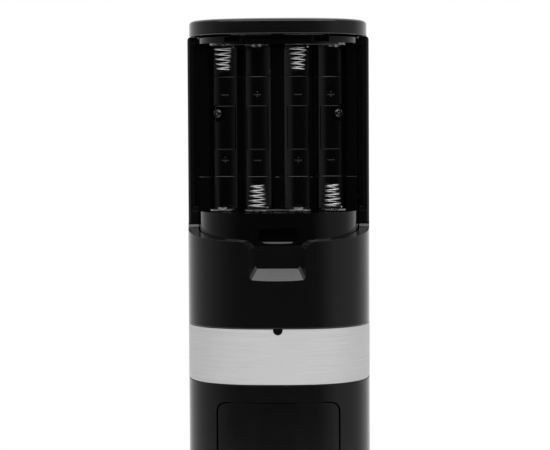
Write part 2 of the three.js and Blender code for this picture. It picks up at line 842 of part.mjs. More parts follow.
function notchProfile(depthY, backWidth, frontWidth) {
  return [
    new THREE.Vector2(-backWidth / 2, depthY),
    new THREE.Vector2(-frontWidth / 2, -bodyHalf),
    new THREE.Vector2(-frontWidth / 2, -bodyHalf - overrun),
    new THREE.Vector2(frontWidth / 2, -bodyHalf - overrun),
    new THREE.Vector2(frontWidth / 2, -bodyHalf),
    new THREE.Vector2(backWidth / 2, depthY),
  ];
}

// The recess for a fingertip under the latch, with a lip that slopes down and out.
function fingerNotch() {
  const backBottom = rimFront - notchDrop;
  const lipBottom = backBottom - notchLipDrop;
  const plan = notchProfile(-drumHalf, notchInnerWidth, notchOuterWidth);
  const recess = prism(plan, lipBottom, rimFront + overrun);
  const lip = prismX(
    [
      new THREE.Vector2(-drumHalf + overrun, backBottom),
      new THREE.Vector2(-drumHalf, backBottom),
      new THREE.Vector2(-bodyHalf, lipBottom),
      new THREE.Vector2(-bodyHalf - 2 * overrun, lipBottom - overrun),
      new THREE.Vector2(-drumHalf + overrun, lipBottom - overrun),
    ],
    -notchOuterWidth,
    notchOuterWidth,
  );
  return cut(recess, lip);
}

function notchBacking() {
  const half = notchOuterWidth / 2 + notchWall;
  const bottom = rimFront - notchDrop - notchLipDrop - notchFootDepth;
  return block(-half, half, -headInner - overrun, -drumHalf + notchWall, bottom, frameBottom - clearance);
}

function screwBoss(x) {
  const back = headInner - overrun;
  const front = frameBackY + clearance;
  const post = prismY(circle(bossRadius, mediumCircleSides, x, screwLevel), front, back);
  return common(post, prism(softSquare(headInner + overrun), headBottom, headTop));
}

function bossBore(x) {
  const depth = frameScrewLength - counterboreFloor;
  const outline = circle(screwShankRadius + clearance, smallCircleSides, x, screwLevel);
  return prismY(outline, frameBackY, frameBackY + depth + overrun);
}

const shelfTop = headTop - shelfBelowTop;

function headHousing() {
  const shell = prism(softSquare(bodyHalf), headBottom, headTop, softSquare(headInner));
  const opened = cut(shell, doorSpace(), doorGroove(-1), doorGroove(1));
  const webTop = webBottom + webThickness;
  const webHole = circle(webHoleRadius, largeCircleSides);
  const web = prism(softSquare(headInner + overrun), webBottom, webTop, webHole);
  const shelfHalf = boardWidth / 2 - shelfInset;
  const shelfFront = frameBackY + shelfFrontGap;
  const shelf = common(
    block(-shelfHalf, shelfHalf, shelfFront, headInner + overrun, shelfTop - shelfThickness, shelfTop),
    prism(softSquare(headInner + overrun), headBottom, headTop),
  );
  const keyFront = -bodyHalf + keyInset;
  const key = prismY(keyOutline(0), keyFront, keyFront + keyThickness);
  const bosses = [-frameScrewX, frameScrewX].map(screwBoss);
  const solidHousing = [web, key, notchBacking()].map(solid).concat(shelf, bosses);
  const whole = solidHousing.reduce((sum, item) => sum.add(item), opened);
  const pilots = cupScrewPlaces().map(([x, y]) => {
    return drill(smallScrewShank + clearance, webBottom - overrun, webTop + overrun, x, y);
  });
  return cut(whole, fingerNotch(), bossBore(-frameScrewX), bossBore(frameScrewX), ...pilots);
}

function topCap() {
  const skirt = prism(softSquare(bodyHalf), capBottom, capTop, softSquare(bodyHalf - capWall));
  const plateBottom = capTop - capPlate;
  const hole = circle(buttonRadius + clearance, largeCircleSides);
  return join(skirt, prism(softSquare(bodyHalf - capWall + overrun), plateBottom, capTop, hole));
}

// ---------------------------------------------------------------- button and switch

const boardBottom = shelfTop + clearance;
const boardTop = boardBottom + boardThickness;
const switchBottom = boardTop + clearance;
const plungerTop = switchBottom + switchBodyHeight + switchPlungerHeight;
const buttonFlangeBottom = frameTop + clearance + buttonTravel;

function pushButton() {
  const face = disc(buttonRadius, buttonFlangeBottom, capTop);
  const flangeTop = buttonFlangeBottom + buttonFlangeThickness;
  const flange = disc(buttonRadius + buttonFlangeWidth, buttonFlangeBottom, flangeTop);
  const stemBottom = plungerTop + buttonTravel + clearance;
  const stem = drill(buttonStemRadius, stemBottom, buttonFlangeBottom + overrun, 0, buttonOffsetY);
  return join(face, flange, stem);
}

function buttonSwitch() {
  const half = switchSize / 2;
  const y = buttonOffsetY;
  const box = block(-half, half, y - half, y + half, switchBottom, switchBottom + switchBodyHeight);
  return join(box, drill(switchPlungerRadius, switchBottom + overrun, plungerTop, 0, y));
}

function buildButton(head) {
  const [front, back] = [buttonOffsetY - boardDepth / 2, buttonOffsetY + boardDepth / 2];
  const board = block(-boardWidth / 2, boardWidth / 2, front, back, boardBottom, boardTop);
  const springBottom = boardTop + clearance + buttonWireRadius;
  const springTop = buttonFlangeBottom - clearance - buttonWireRadius;
  const r = buttonSpringRadius;
  const coil = spring(r, r, springBottom, springTop, buttonSpringTurns, buttonWireRadius);
  piece(head, "top_cap", topCap(), blackGloss);
  piece(head, "push_button", pushButton(), blackGloss);
  piece(head, "button_spring", coil, springSteel, 0, buttonOffsetY);
  piece(head, "switch_board", board, boardGreen);
  piece(head, "button_switch", buttonSwitch(), blackMatte);
}

// ---------------------------------------------------------------- battery compartment

const bays = [
  { x: -bayX[0], y: bayY[0] },
  { x: -bayX[1], y: bayY[1] },
  { x: bayX[1], y: bayY[1] },
  { x: bayX[0], y: bayY[0] },
];

function bayPocket() {
  const far = 2 * bodyHalf;
  const [low, high] = [compartmentFloor, ceiling];
  const outerStart = bayX[1] + troughRadius / 2;
  const sideStart = bayX[0] + Math.sqrt(troughRadius ** 2 - (sideWallFrontY - bayY[0]) ** 2);
  const tools = [block(-far, far, -far, ridgeCentreY, low, high)];
  for (const side of [-1, 1]) {
    const [a, b, c] = [side * outerStart, side * far, side * sideStart];
    tools.push(block(Math.min(a, b), Math.max(a, b), -far, ridgeOuterY, low, high));
    tools.push(block(Math.min(c, b), Math.max(c, b), -far, sideWallFrontY, low, high));
  }
  for (const bay of bays) tools.push(prism(circle(troughRadius, largeCircleSides, bay.x, bay.y), low, high));
  return join(...tools);
}

function ceilingLip() {
  const inner = softSquare(drumHalf - ceilingLipWall);
  const wall = prism(softSquare(drumHalf), ceiling - ceilingLipDrop, ceiling + overrun, inner);
  return common(wall, block(-2 * bodyHalf, 2 * bodyHalf, -2 * bodyHalf, sideWallFrontY, 0, headTop));
}

function frameScrewHoles(x) {
  const seat = frameBackY - counterboreFloor;
  const shankHole = circle(screwShankRadius + clearance, smallCircleSides, x, screwLevel);
  const shank = prismY(shankHole, -2 * bodyHalf, 0);
  return join(shank, prismY(circle(counterboreRadius, circleSides, x, screwLevel), -2 * bodyHalf, seat));
}

function tagPlace(bay) {
  return { x: bay.x, y: bay.y + plateRadius - tagWidth / 2 };
}

function tagSlot(bay) {
  const { x, y } = tagPlace(bay);
  const half = tagWidth / 2 + clearance;
  const depth = plateThickness / 2 + clearance;
  const low = compartmentFloor - floorThickness - overrun;
  return block(x - half, x + half, y - depth, y + depth, low, compartmentFloor + overrun);
}

// The drum with the four bays, which closes the front of the head.
function batteryFrame() {
  const drum = prism(softSquare(drumHalf), frameBottom, frameTop);
  const front = common(drum, block(-bodyHalf, bodyHalf, -bodyHalf, frameBackY, 0, capTop));
  const hollowTop = compartmentFloor - floorThickness;
  const hollow = prism(softSquare(drumHalf - drumWall), frameBottom - overrun, hollowTop);
  const latchTop = rimFront + latchHeight;
  const latch = block(-latchWidth / 2, latchWidth / 2, -bodyHalf, -drumHalf / 2, rimFront, latchTop);
  const tabSlots = [-1, 1].map((side) => {
    const x = side * tabSlotCentreX;
    const top = ceiling - ceilingLipDrop + clearance + tabSlotHeight;
    const half = tabSlotWidth / 2;
    return block(x - half, x + half, -bodyHalf, -drumHalf + tabSlotDepth, top - tabSlotHeight, top);
  });
  const reliefHalf = bayX[1] + reliefMargin;
  const reliefY = bayY[1] + troughRadius + drumWall;
  const reliefBottom = compartmentFloor + reliefEndGap;
  const relief = block(-reliefHalf, reliefHalf, reliefY, 0, reliefBottom, ceiling - reliefEndGap);
  const lipped = cut(front, bayPocket()).add(ceilingLip());
  return cut(
    lipped,
    hollow,
    latch,
    ...tabSlots,
    relief,
    frameScrewHoles(-frameScrewX),
    frameScrewHoles(frameScrewX),
    tagSlot(bays[0]),
    tagSlot(bays[3]),
  );
}

function frameScrew() {
  const seat = frameBackY - counterboreFloor - clearance;
  const front = seat - screwHeadHeight;
  const head = prismY(circle(screwHeadRadius, mediumCircleSides, 0, screwLevel), front, seat);
  const shankOutline = circle(screwShankRadius, smallCircleSides, 0, screwLevel);
  const shank = prismY(shankOutline, seat - screwHeadHeight / 3, seat + frameScrewLength);
  const slotFloor = seat - screwHeadHeight / 2;
  const [long, thin] = [crossSlotHalfLength, crossSlotHalfWidth];
  const cross = join(
    block(-long, long, front - overrun, slotFloor, screwLevel - thin, screwLevel + thin),
    block(-thin, thin, front - overrun, slotFloor, screwLevel - long, screwLevel + long),
  );
  return cut(join(head, shank), cross);
}

const topPlateLevel = ceiling - clearance - plateThickness;
const bottomPlateLevel = compartmentFloor + clearance;

function contactDisc(bay, level) {
  return prism(circle(plateRadius, mediumCircleSides, bay.x, bay.y), level, level + plateThickness);
}

// The raised dot that meets the positive end of a cell; direction is +1 when it points up.
function contactNub(bay, level, direction) {
  const base = direction > 0 ? level + plateThickness / 2 : level - contactNubHeight;
  const tip = direction > 0 ? level + plateThickness + contactNubHeight : level + plateThickness / 2;
  return drill(contactNubRadius, base, tip, bay.x, bay.y);
}

function linkPlate(springBay, flatBay, level, direction) {
  const run = Math.hypot(flatBay.x - springBay.x, flatBay.y - springBay.y);
  const strap = block(-run / 2, run / 2, -strapWidth / 2, strapWidth / 2, level, level + plateThickness);
  strap.rotateZ(Math.atan2(flatBay.y - springBay.y, flatBay.x - springBay.x));
  strap.translate((springBay.x + flatBay.x) / 2, (springBay.y + flatBay.y) / 2, 0);
  return join(
    contactDisc(springBay, level),
    contactDisc(flatBay, level),
    strap,
    contactNub(flatBay, level, direction),
  );
}

function contactTag(bay) {
  const { x, y } = tagPlace(bay);
  const low = compartmentFloor - tagReach;
  const [halfX, halfY] = [tagWidth / 2, plateThickness / 2];
  return block(x - halfX, x + halfX, y - halfY, y + halfY, low, bottomPlateLevel + plateThickness);
}

function contactSpring(base, tip) {
  const [r0, r1] = [contactSpringBaseRadius, contactSpringTipRadius];
  return spring(r0, r1, base, tip, contactSpringTurns, contactWireRadius);
}

function buildBatteryBay(head) {
  const [first, second, third, fourth] = bays;
  piece(head, "battery_frame", batteryFrame(), blackGloss);
  piece(head, "frame_screw_left", frameScrew(), nickelPlate, -frameScrewX);
  piece(head, "frame_screw_right", frameScrew(), nickelPlate, frameScrewX);
  piece(head, "contact_link_top_left", linkPlate(first, second, topPlateLevel, -1), nickelPlate);
  piece(head, "contact_link_top_right", linkPlate(third, fourth, topPlateLevel, -1), nickelPlate);
  piece(head, "contact_link_bottom", linkPlate(second, third, bottomPlateLevel, 1), nickelPlate);
  const positive = join(
    contactDisc(first, bottomPlateLevel),
    contactNub(first, bottomPlateLevel, 1),
    contactTag(first),
  );
  piece(head, "contact_positive", positive, nickelPlate);
  const negative = join(contactDisc(fourth, bottomPlateLevel), contactTag(fourth));
  piece(head, "contact_negative", negative, nickelPlate);
  const seat = clearance + contactWireRadius;
  bays.forEach((bay, index) => {
    const hangs = index % 2 === 0;
    const base = hangs ? topPlateLevel - seat : bottomPlateLevel + plateThickness + seat;
    const tip = hangs ? base - contactSpringLength : base + contactSpringLength;
    piece(head, `contact_spring_${index + 1}`, contactSpring(base, tip), springSteel, bay.x, bay.y);
  });
}

// ---------------------------------------------------------------- motor and gearbox

function involute(angle) {
  return Math.tan(angle) - angle;
}

// Outline of an involute gear. The tooth's half width at the pitch circle changes by the allowance.
function gearOutline(teeth, tipRadius, rootRadius, allowance, phase) {
  const pitchRadius = (gearModule * teeth) / 2;
  const baseRadius = pitchRadius * Math.cos(pressureAngle);
  const halfAtPitch = Math.PI / (2 * teeth) + allowance / pitchRadius;
  const halfAt = (r) => {
    const angle = r > baseRadius ? Math.acos(baseRadius / r) : 0;
    return halfAtPitch + involute(pressureAngle) - involute(angle);
  };
  const radii = [rootRadius, tipRadius];
  const points = [];
  for (let i = 0; i < teeth; i++) {
    const centre = (i / teeth) * 2 * Math.PI + phase;
    for (const r of radii) {
      points.push(new THREE.Vector2(r * Math.cos(centre - halfAt(r)), r * Math.sin(centre - halfAt(r))));
    }
    for (const r of [...radii].reverse()) {
      points.push(new THREE.Vector2(r * Math.cos(centre + halfAt(r)), r * Math.sin(centre + halfAt(r))));
    }
  }
  return points;
}

function wheelOutline(teeth, phase) {
  const pitchRadius = (gearModule * teeth) / 2;
  const tip = pitchRadius + addendum * gearModule;
  return gearOutline(teeth, tip, pitchRadius - dedendum * gearModule, -gearBacklash / 2, phase);
}

function ringOutline() {
  const root = ringPitchRadius + dedendum * gearModule;
  const tip = ringPitchRadius - ringAddendum * gearModule;
  return gearOutline(ringTeeth, root, tip, gearBacklash / 2, Math.PI / ringTeeth);
}

const orbitRadius = (gearModule * (sunTeeth + planetTeeth)) / 2;
const ringGearOuter = ringPitchRadius + dedendum * gearModule + ringGearWall;
const cupInner = ringGearOuter + clearance;
const cupOuter = cupInner + cupWall;

function planetAngle(index) {
  return (index / planetCount) * 2 * Math.PI;
}

function planetGear(index, z0) {
  const phase = planetAngle(index) + Math.PI / planetTeeth;
  const bore = circle(planetBoreRadius, smallCircleSides);
  return prism(wheelOutline(planetTeeth, phase), z0, z0 + gearWidth, bore);
}

// A carrier disc with its planet pins standing on it.
function carrier(z0) {
  const z1 = z0 + carrierThickness;
  const pinTop = z1 + clearance + gearWidth - planetPinRecess;
  const pins = Array.from({ length: planetCount }, (_, i) => {
    const t = planetAngle(i);
    const [x, y] = [orbitRadius * Math.cos(t), orbitRadius * Math.sin(t)];
    return drill(planetPinRadius, z1 - overrun / 2, pinTop, x, y);
  });
  return join(disc(carrierRadius, z0, z1), ...pins);
}

function firstCarrier() {
  const sunBottom = secondPlanetsBottom + sunEndGap;
  const sun = prism(wheelOutline(sunTeeth, 0), sunBottom, firstCarrierBottom + overrun / 2);
  return carrier(firstCarrierBottom).add(solid(sun));
}

function outputCarrier() {
  const socket = prism(circle(socketRadius), socketBottom, secondCarrierBottom + overrun / 2);
  const flats = shaftAcrossFlats + 2 * clearance;
  const hole = prism(hexagon(flats), socketBottom - overrun, shaftTop + 2 * clearance);
  return cut(carrier(secondCarrierBottom).add(solid(socket)), hole);
}

function cupScrewPlaces() {
  return [45, 135, 225, 315].map((degrees) => {
    const t = THREE.MathUtils.degToRad(degrees);
    return [cupScrewRing * Math.cos(t), cupScrewRing * Math.sin(t)];
  });
}

function cupScrewHoles(z0, z1) {
  return cupScrewPlaces().map(([x, y]) => drill(smallScrewShank + clearance, z0, z1, x, y));
}

const cupFlangeBottom = cupTop - cupFlangeThickness;

function gearboxCup() {
  const bushOuter = socketRadius + clearance + bushWall;
  const wall = tube(cupInner, cupOuter, cupBottom, cupTop, largeCircleSides);
  const insideWall = cupOuter - cupFloorInset;
  const floor = disc(insideWall, cupBottom, cupInside, circle(bushOuter + clearance));
  const flangeHole = circle(insideWall, largeCircleSides);
  const flange = prism(softSquare(headInner - clearance), cupFlangeBottom, cupTop, flangeHole);
  const skirtHalf = containerInner - clearance;
  const skirtBottom = cupFlangeBottom - spigotLength;
  const skirtHole = softSquare(skirtHalf - spigotWall);
  const skirt = prism(softSquare(skirtHalf), skirtBottom, cupFlangeBottom + overrun, skirtHole);
  const headRoom = cupScrewPlaces().map(([x, y]) => {
    return drill(smallScrewHead + clearance, skirtBottom - overrun, cupFlangeBottom, x, y);
  });
  const shaped = join(wall, floor, flange, skirt);
  return cut(shaped, ...headRoom, ...cupScrewHoles(cupFlangeBottom - overrun, cupTop + overrun));
}

function motorScrewPlaces() {
  return [-motorScrewRing, motorScrewRing];
}

function motorPlate() {
  const plate = prism(softSquare(headInner - clearance), motorPlateBottom, motorPlateTop);
  const [below, above] = [motorPlateBottom - overrun, motorPlateTop + overrun];
  const shaftHole = drill(motorShaftRadius + clearance, below, above);
  const sunkTop = motorPlateBottom + smallScrewHeadHeight + clearance;
  const holes = motorScrewPlaces().flatMap((x) => [
    drill(smallScrewShank + clearance, below, above, x),
    drill(smallScrewHead + clearance, below, sunkTop, x),
  ]);
  return cut(plate, shaftHole, ...holes, ...cupScrewHoles(below, above));
}

function motorCan() {
  const bottom = motorPlateTop + clearance;
  const top = bottom + motorLength;
  const can = disc(motorRadius, bottom, top);
  const [lugBottom, lugTop] = [top - overrun, top + motorBossHeight];
  const rear = prism(circle(motorBossRadius, mediumCircleSides), lugBottom, lugTop);
  const [lugFront, lugBack] = [motorLugY - motorLugHalfThickness, motorLugY + motorLugHalfThickness];
  const lugs = [-1, 1].map((side) => {
    const x = side * (motorRadius - motorLugInset);
    return block(x - motorLugHalfWidth, x + motorLugHalfWidth, lugFront, lugBack, lugBottom, lugTop);
  });
  const below = bottom - overrun;
  const shaftHole = drill(motorShaftRadius + clearance, below, bottom + motorLength / 2);
  const pilots = motorScrewPlaces().map((x) => {
    return drill(smallScrewShank + clearance, below, bottom + motorScrewLength, x);
  });
  return cut(join(can, rear, ...lugs), shaftHole, ...pilots);
}

function smallScrew(headBottomLevel, length) {
  const seat = headBottomLevel + smallScrewHeadHeight;
  const shank = circle(smallScrewShank, tinyCircleSides);
  const head = drill(smallScrewHead, headBottomLevel, seat);
  return join(head, prism(shank, seat - smallScrewHeadHeight / 2, seat + length));
}

function motorPinion() {
  const bottom = firstPlanetsBottom + sunEndGap;
  const bore = circle(motorShaftRadius + pinionBoreGap, smallCircleSides);
  return prism(wheelOutline(sunTeeth, 0), bottom, bottom + gearWidth, bore);
}

function motorShaft() {
  const bottom = firstPlanetsBottom + sunEndGap;
  const top = motorPlateTop + motorLength / 2;
  return drill(motorShaftRadius, bottom, top);
}

function buildPlanets(head, stage, z0) {
  for (let i = 0; i < planetCount; i++) {
    const t = planetAngle(i);
    const [x, y] = [orbitRadius * Math.cos(t), orbitRadius * Math.sin(t)];
    piece(head, `planet_gear_${stage}_${i + 1}`, planetGear(i, z0), whiteNylon, x, y);
  }
}

function buildDrive(head) {
  const bushOuter = socketRadius + clearance + bushWall;
  const ringBottom = cupInside + clearance;
  const ring = prism(circle(ringGearOuter, largeCircleSides), ringBottom, cupTop, ringOutline());
  piece(head, "motor_plate", motorPlate(), motorZinc);
  piece(head, "motor_can", motorCan(), motorZinc);
  piece(head, "motor_shaft", motorShaft(), darkSteel);
  piece(head, "motor_pinion", motorPinion(), bronze);
  piece(head, "gearbox_cup", gearboxCup(), blackMatte);
  piece(head, "ring_gear", ring, naturalAcetal);
  piece(head, "carrier_1", firstCarrier(), naturalAcetal);
  buildPlanets(head, 1, firstPlanetsBottom);
  piece(head, "carrier_2_socket", outputCarrier(), naturalAcetal);
  buildPlanets(head, 2, secondPlanetsBottom);
  piece(head, "output_bush", tube(socketRadius + clearance, bushOuter, cupBottom, cupInside), bronze);
  motorScrewPlaces().forEach((x, i) => {
    piece(head, `motor_screw_${i + 1}`, smallScrew(motorPlateBottom, motorScrewLength), nickelPlate, x);
  });
  const cupScrewLevel = cupFlangeBottom - clearance - smallScrewHeadHeight;
  cupScrewPlaces().forEach(([x, y], i) => {
    piece(head, `gearbox_screw_${i + 1}`, smallScrew(cupScrewLevel, cupScrewLength), nickelPlate, x, y);
  });
}

// ---------------------------------------------------------------- wiring

function wire(points) {
  const curve = new THREE.CatmullRomCurve3(points.map(([x, y, z]) => new THREE.Vector3(x, y, z)));
  return rod(curve, wireRadius, wireSteps, tinyCircleSides);
}

function buildWires(head) {
  const tag = tagPlace(bays[3]);
  const tagEnd = compartmentFloor - tagReach;
  const lugTop = motorPlateTop + clearance + motorLength + motorBossHeight;
  const gap = clearance + wireRadius;
  const lugEdge = motorRadius - motorLugInset + motorLugHalfWidth + gap;
  const boardEdge = boardWidth / 2 + gap;
  const middle = (tagEnd + boardTop) / 2;
  const red = wire([
    [-tag.x, tag.y, tagEnd - gap],
    [-tag.x, frameBackY + wireSway, tagEnd - wireDip],
    [-tag.x, wireBackY - wireDip, tagEnd + wireRise],
    [-boardEdge - wireSway, wireBackY, middle],
    [-boardEdge - wireSway / 2, wireBackY, boardTop - wireRise],
    [-boardEdge, wireBackY, boardTop],
  ]);
  const black = wire([
    [tag.x, tag.y, tagEnd - gap],
    [tag.x, frameBackY + wireSway, tagEnd - wireDip],
    [lugEdge + wireRise - gap, 2 * motorLugY, lugTop + wireSway / 2],
    [lugEdge, motorLugY, lugTop - wireLugDrop],
  ]);
  const switched = wire([
    [boardEdge, wireBackY, boardTop],
    [boardEdge + wireSway / 2, wireBackY + wireSway / 2, boardTop - wireRise],
    [wireRise, wireBackY + wireRise, middle],
    [-lugEdge - wireDip + wireSway / 2 + gap, wireBackY + wireSway, lugTop + wireRise + wireSway],
    [-lugEdge, motorLugY, lugTop - wireLugDrop],
  ]);
  piece(head, "wire_battery_to_switch", red, redWire);
  piece(head, "wire_battery_to_motor", black, blackWire);
  piece(head, "wire_switch_to_motor", switched, redWire);
}

// ---------------------------------------------------------------- assembly

const container = new THREE.Group();
buildContainer(container);
buildGrinder(container);
mill.add(container);

const head = new THREE.Group();
piece(head, "head_housing", headHousing(), blackGloss);
buildButton(head);
buildBatteryBay(head);
buildDrive(head);
buildWires(head);
mill.add(head);

export default mill;
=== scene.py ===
"""Battery-powered pepper mill, dressed for rendering.

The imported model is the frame: each piece rides on its body and stands for the node it replaces.
Sizes are millimetres, the origin is the centre of the base, and the battery side faces -Y.
"""

import json
import logging
import math
from collections.abc import Callable, Iterable, Sequence
from dataclasses import dataclass, field
from enum import Enum

import bmesh
import bpy
from mathutils import Matrix, Vector

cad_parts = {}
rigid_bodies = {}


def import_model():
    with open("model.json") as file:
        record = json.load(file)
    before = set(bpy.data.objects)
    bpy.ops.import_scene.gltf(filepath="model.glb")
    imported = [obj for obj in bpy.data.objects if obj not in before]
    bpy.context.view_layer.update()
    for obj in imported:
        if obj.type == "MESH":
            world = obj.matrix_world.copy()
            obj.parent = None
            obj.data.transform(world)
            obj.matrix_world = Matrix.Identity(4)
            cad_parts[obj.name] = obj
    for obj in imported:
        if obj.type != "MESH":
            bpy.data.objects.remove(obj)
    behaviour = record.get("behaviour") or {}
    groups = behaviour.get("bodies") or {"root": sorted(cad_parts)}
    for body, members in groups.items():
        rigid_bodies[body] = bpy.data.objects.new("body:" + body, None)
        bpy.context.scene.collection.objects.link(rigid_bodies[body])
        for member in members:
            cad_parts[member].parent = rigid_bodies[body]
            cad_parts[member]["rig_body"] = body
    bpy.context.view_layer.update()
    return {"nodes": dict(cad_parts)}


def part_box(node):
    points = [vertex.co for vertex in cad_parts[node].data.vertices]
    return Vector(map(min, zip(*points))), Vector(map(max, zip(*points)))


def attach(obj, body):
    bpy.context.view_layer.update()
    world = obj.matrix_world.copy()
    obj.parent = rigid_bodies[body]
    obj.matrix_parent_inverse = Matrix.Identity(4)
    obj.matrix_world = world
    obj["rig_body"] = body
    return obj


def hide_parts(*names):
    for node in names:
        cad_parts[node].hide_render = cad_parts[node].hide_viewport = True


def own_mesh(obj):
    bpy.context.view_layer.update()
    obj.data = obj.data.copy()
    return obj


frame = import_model()

logging.basicConfig(level=logging.INFO, format="%(message)s")
log = logging.getLogger("pepper_mill")

MM = 0.001
FULL_TURN = 2 * math.pi
SQUARENESS = 2.7  # superellipse exponent of the body's section
ROUND = 2.0  # the same of a circle
SIDES = 160  # facets round the body
LEFT_RIGHT = (-1, 1)  # the sign of x on each side
GAP = 0.3  # between neighbours
OVERRUN = 1.0  # how far a cutter runs past a face
OUTSIDE = 30.0  # from the body's axis to a place beyond its faces
FULL_HEIGHT = (0.0, 300.0)  # levels that hold the whole mill
ROD_END = (0.6, 0.4)  # a rod's rounded end, as shares of its radius: how far it stands out, how wide
FLAT_RISE = 0.14  # share of a coil's height that its flat end turns take up

Point = tuple[float, float]
Corner = tuple[float, float, float]
Section = tuple[list[Point], float]  # an outline and where it stands


class Slot(Enum):
    """The record's material slots."""

    GLOSS_BLACK = "gloss_black"
    MATTE_BLACK = "matte_black"
    BRUSHED_BAND = "brushed_band"
    SPRING_STEEL = "spring_steel"
    NICKEL_PLATE = "nickel_plate"
    DARK_STEEL = "dark_steel"
    MOTOR_ZINC = "motor_zinc"
    BRONZE = "bronze"
    CERAMIC_WHITE = "ceramic_white"
    NYLON_WHITE = "nylon_white"
    ACETAL_CREAM = "acetal_cream"
    BOARD_GREEN = "board_green"
    WIRE_RED = "wire_red"
    WIRE_BLACK = "wire_black"


class Joining(Enum):
    """The ways two solids combine."""

    ADD = "UNION"
    CUT = "DIFFERENCE"
    KEEP = "INTERSECT"


class Direction(Enum):
    """The way a flat outline is drawn out into a prism."""

    ALONG_X = "x"
    ALONG_Y = "y"
    UPRIGHT = "z"

    def at(self, across: float, up: float, along: float) -> Vector:
        """A point of the outline at a distance along this direction.

        Args:
            across: the point's first coordinate in the outline.
            up: its second coordinate.
            along: the distance.

        Returns:
            The point in space.
        """
        if self is Direction.ALONG_X:
            return Vector((along, across, up))
        if self is Direction.ALONG_Y:
            return Vector((across, along, up))
        return Vector((across, up, along))


# ---------------------------------------------------------------- outlines


def circle(radius: float, sides: int = 48, x: float = 0, y: float = 0) -> list[Point]:
    """Points of a circle.

    Args:
        radius: its radius.
        sides: number of points.
        x: first coordinate of its centre.
        y: second coordinate of its centre.

    Returns:
        The points, counter-clockwise.
    """
    turns = [FULL_TURN * i / sides for i in range(sides)]
    return [(x + radius * math.cos(t), y + radius * math.sin(t)) for t in turns]


def soft_square(half: float, exponent: float = SQUARENESS, sides: int = SIDES) -> list[Point]:
    """Points of the body's soft-square section.

    Args:
        half: half of its width.
        exponent: superellipse exponent, 2 for a circle.
        sides: number of points.

    Returns:
        The points, counter-clockwise.
    """
    points = []
    for i in range(sides):
        c, s = math.cos(FULL_TURN * i / sides), math.sin(FULL_TURN * i / sides)
        r = half / (abs(c) ** exponent + abs(s) ** exponent) ** (1 / exponent)
        points.append((r * c, r * s))
    return points


def eased(corners: Sequence[Corner], steps: int = 4) -> list[Point]:
    """A closed outline with rounded corners.

    Args:
        corners: each corner's two coordinates and its radius.
        steps: segments of each rounding.

    Returns:
        The outline's points.
    """
    points: list[Point] = []
    for i, (x, y, radius) in enumerate(corners):
        corner = Vector((x, y))
        before = Vector(corners[i - 1][:2]) - corner
        after = Vector(corners[(i + 1) % len(corners)][:2]) - corner
        if radius <= 0:
            points.append((x, y))
            continue
        half_angle = before.angle(after) / 2
        reach = min(radius / math.tan(half_angle), 0.49 * before.length, 0.49 * after.length)
        radius = reach * math.tan(half_angle)
        inward = before.normalized() + after.normalized()
        centre = corner + inward.normalized() * (radius / math.sin(half_angle))
        start = corner + before.normalized() * reach - centre
        end = corner + after.normalized() * reach - centre
        first = math.atan2(start.y, start.x)
        sweep = math.remainder(math.atan2(end.y, end.x) - first, FULL_TURN)
        for k in range(steps + 1):
            angle = first + sweep * k / steps
            points.append((centre.x + radius * math.cos(angle), centre.y + radius * math.sin(angle)))
    return points


def rectangle(x: Point, y: Point) -> list[Point]:
    """The corners between two values on each axis, counter-clockwise from the lower left."""
    return [(x[0], y[0]), (x[1], y[0]), (x[1], y[1]), (x[0], y[1])]


def oblong(x: Point, y: Point, radii: Sequence[float], steps: int = 4) -> list[Point]:
    """A rectangle whose corners each have a radius of their own.

    Args:
        x: its left and right side.
        y: its lower and upper side.
        radii: the corners' radii, counter-clockwise from the lower left.
        steps: segments of each rounding.

    Returns:
        The outline's points.
    """
    corners = zip(rectangle(x, y), radii, strict=True)
    return eased([(*corner, radius) for corner, radius in corners], steps)


def rounded_box(x: Point, y: Point, radius: float, steps: int = 8) -> list[Point]:
    """A rectangle between two values on each axis, with equally rounded corners."""
    return oblong(x, y, (radius,) * 4, steps)


def tongue(half: float, top: float, tip: float, steps: int) -> list[Point]:
    """A tongue that hangs down and ends in a half circle.

    Args:
        half: half of its width.
        top: the level it hangs from.
        tip: the level it reaches down to.
        steps: segments of its round end.

    Returns:
        The outline's points.
    """
    turns = [math.pi * (1 + i / steps) for i in range(steps + 1)]
    arc = [(half * math.cos(t), tip + half + half * math.sin(t)) for t in turns]
    return [(half, top), (-half, top), *arc]


def post(radius: float, levels: Point, foot: float = 0, head: float = 0) -> list[Point]:
    """Profile of an upright post with chamfered ends.

    Args:
        radius: its radius.
        levels: its lower and upper end.
        foot: chamfer of its lower end.
        head: chamfer of its upper end.

    Returns:
        Radii and levels, from the lower end up.
    """
    low, high = levels
    lower = [(radius - foot, low), (radius, low + foot)] if foot else [(radius, low)]
    upper = [(radius, high - head), (radius - head, high)] if head else [(radius, high)]
    return lower + upper


def mirrored(side: int, start: float, end: float) -> Point:
    """Two distances from the middle as the lower and the higher value on one side.

    Args:
        side: -1 for the left side, 1 for the right one.
        start: the nearer distance.
        end: the farther distance.

    Returns:
        The two values in rising order.
    """
    low, high = sorted((side * start, side * end))
    return low, high


def squareness_at(half: float, round_up_to: float, square_from: float) -> float:
    """Exponent of a ring between a round hole and the square wall.

    Args:
        half: the ring's half width.
        round_up_to: rings up to this half width are circles.
        square_from: rings from this half width on have the body's section.

    Returns:
        The ring's superellipse exponent.
    """
    share = (half - round_up_to) / (square_from - round_up_to)
    return ROUND + (SQUARENESS - ROUND) * min(max(share, 0), 1)


def extent(node: str) -> tuple[Vector, Vector]:
    """Lowest and highest corner of a CAD node, in millimetres."""
    low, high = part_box(node)
    return low / MM, high / MM


def middle(node: str) -> Point:
    """Where the middle of a CAD node stands, seen from above."""
    low, high = extent(node)
    return (low.x + high.x) / 2, (low.y + high.y) / 2


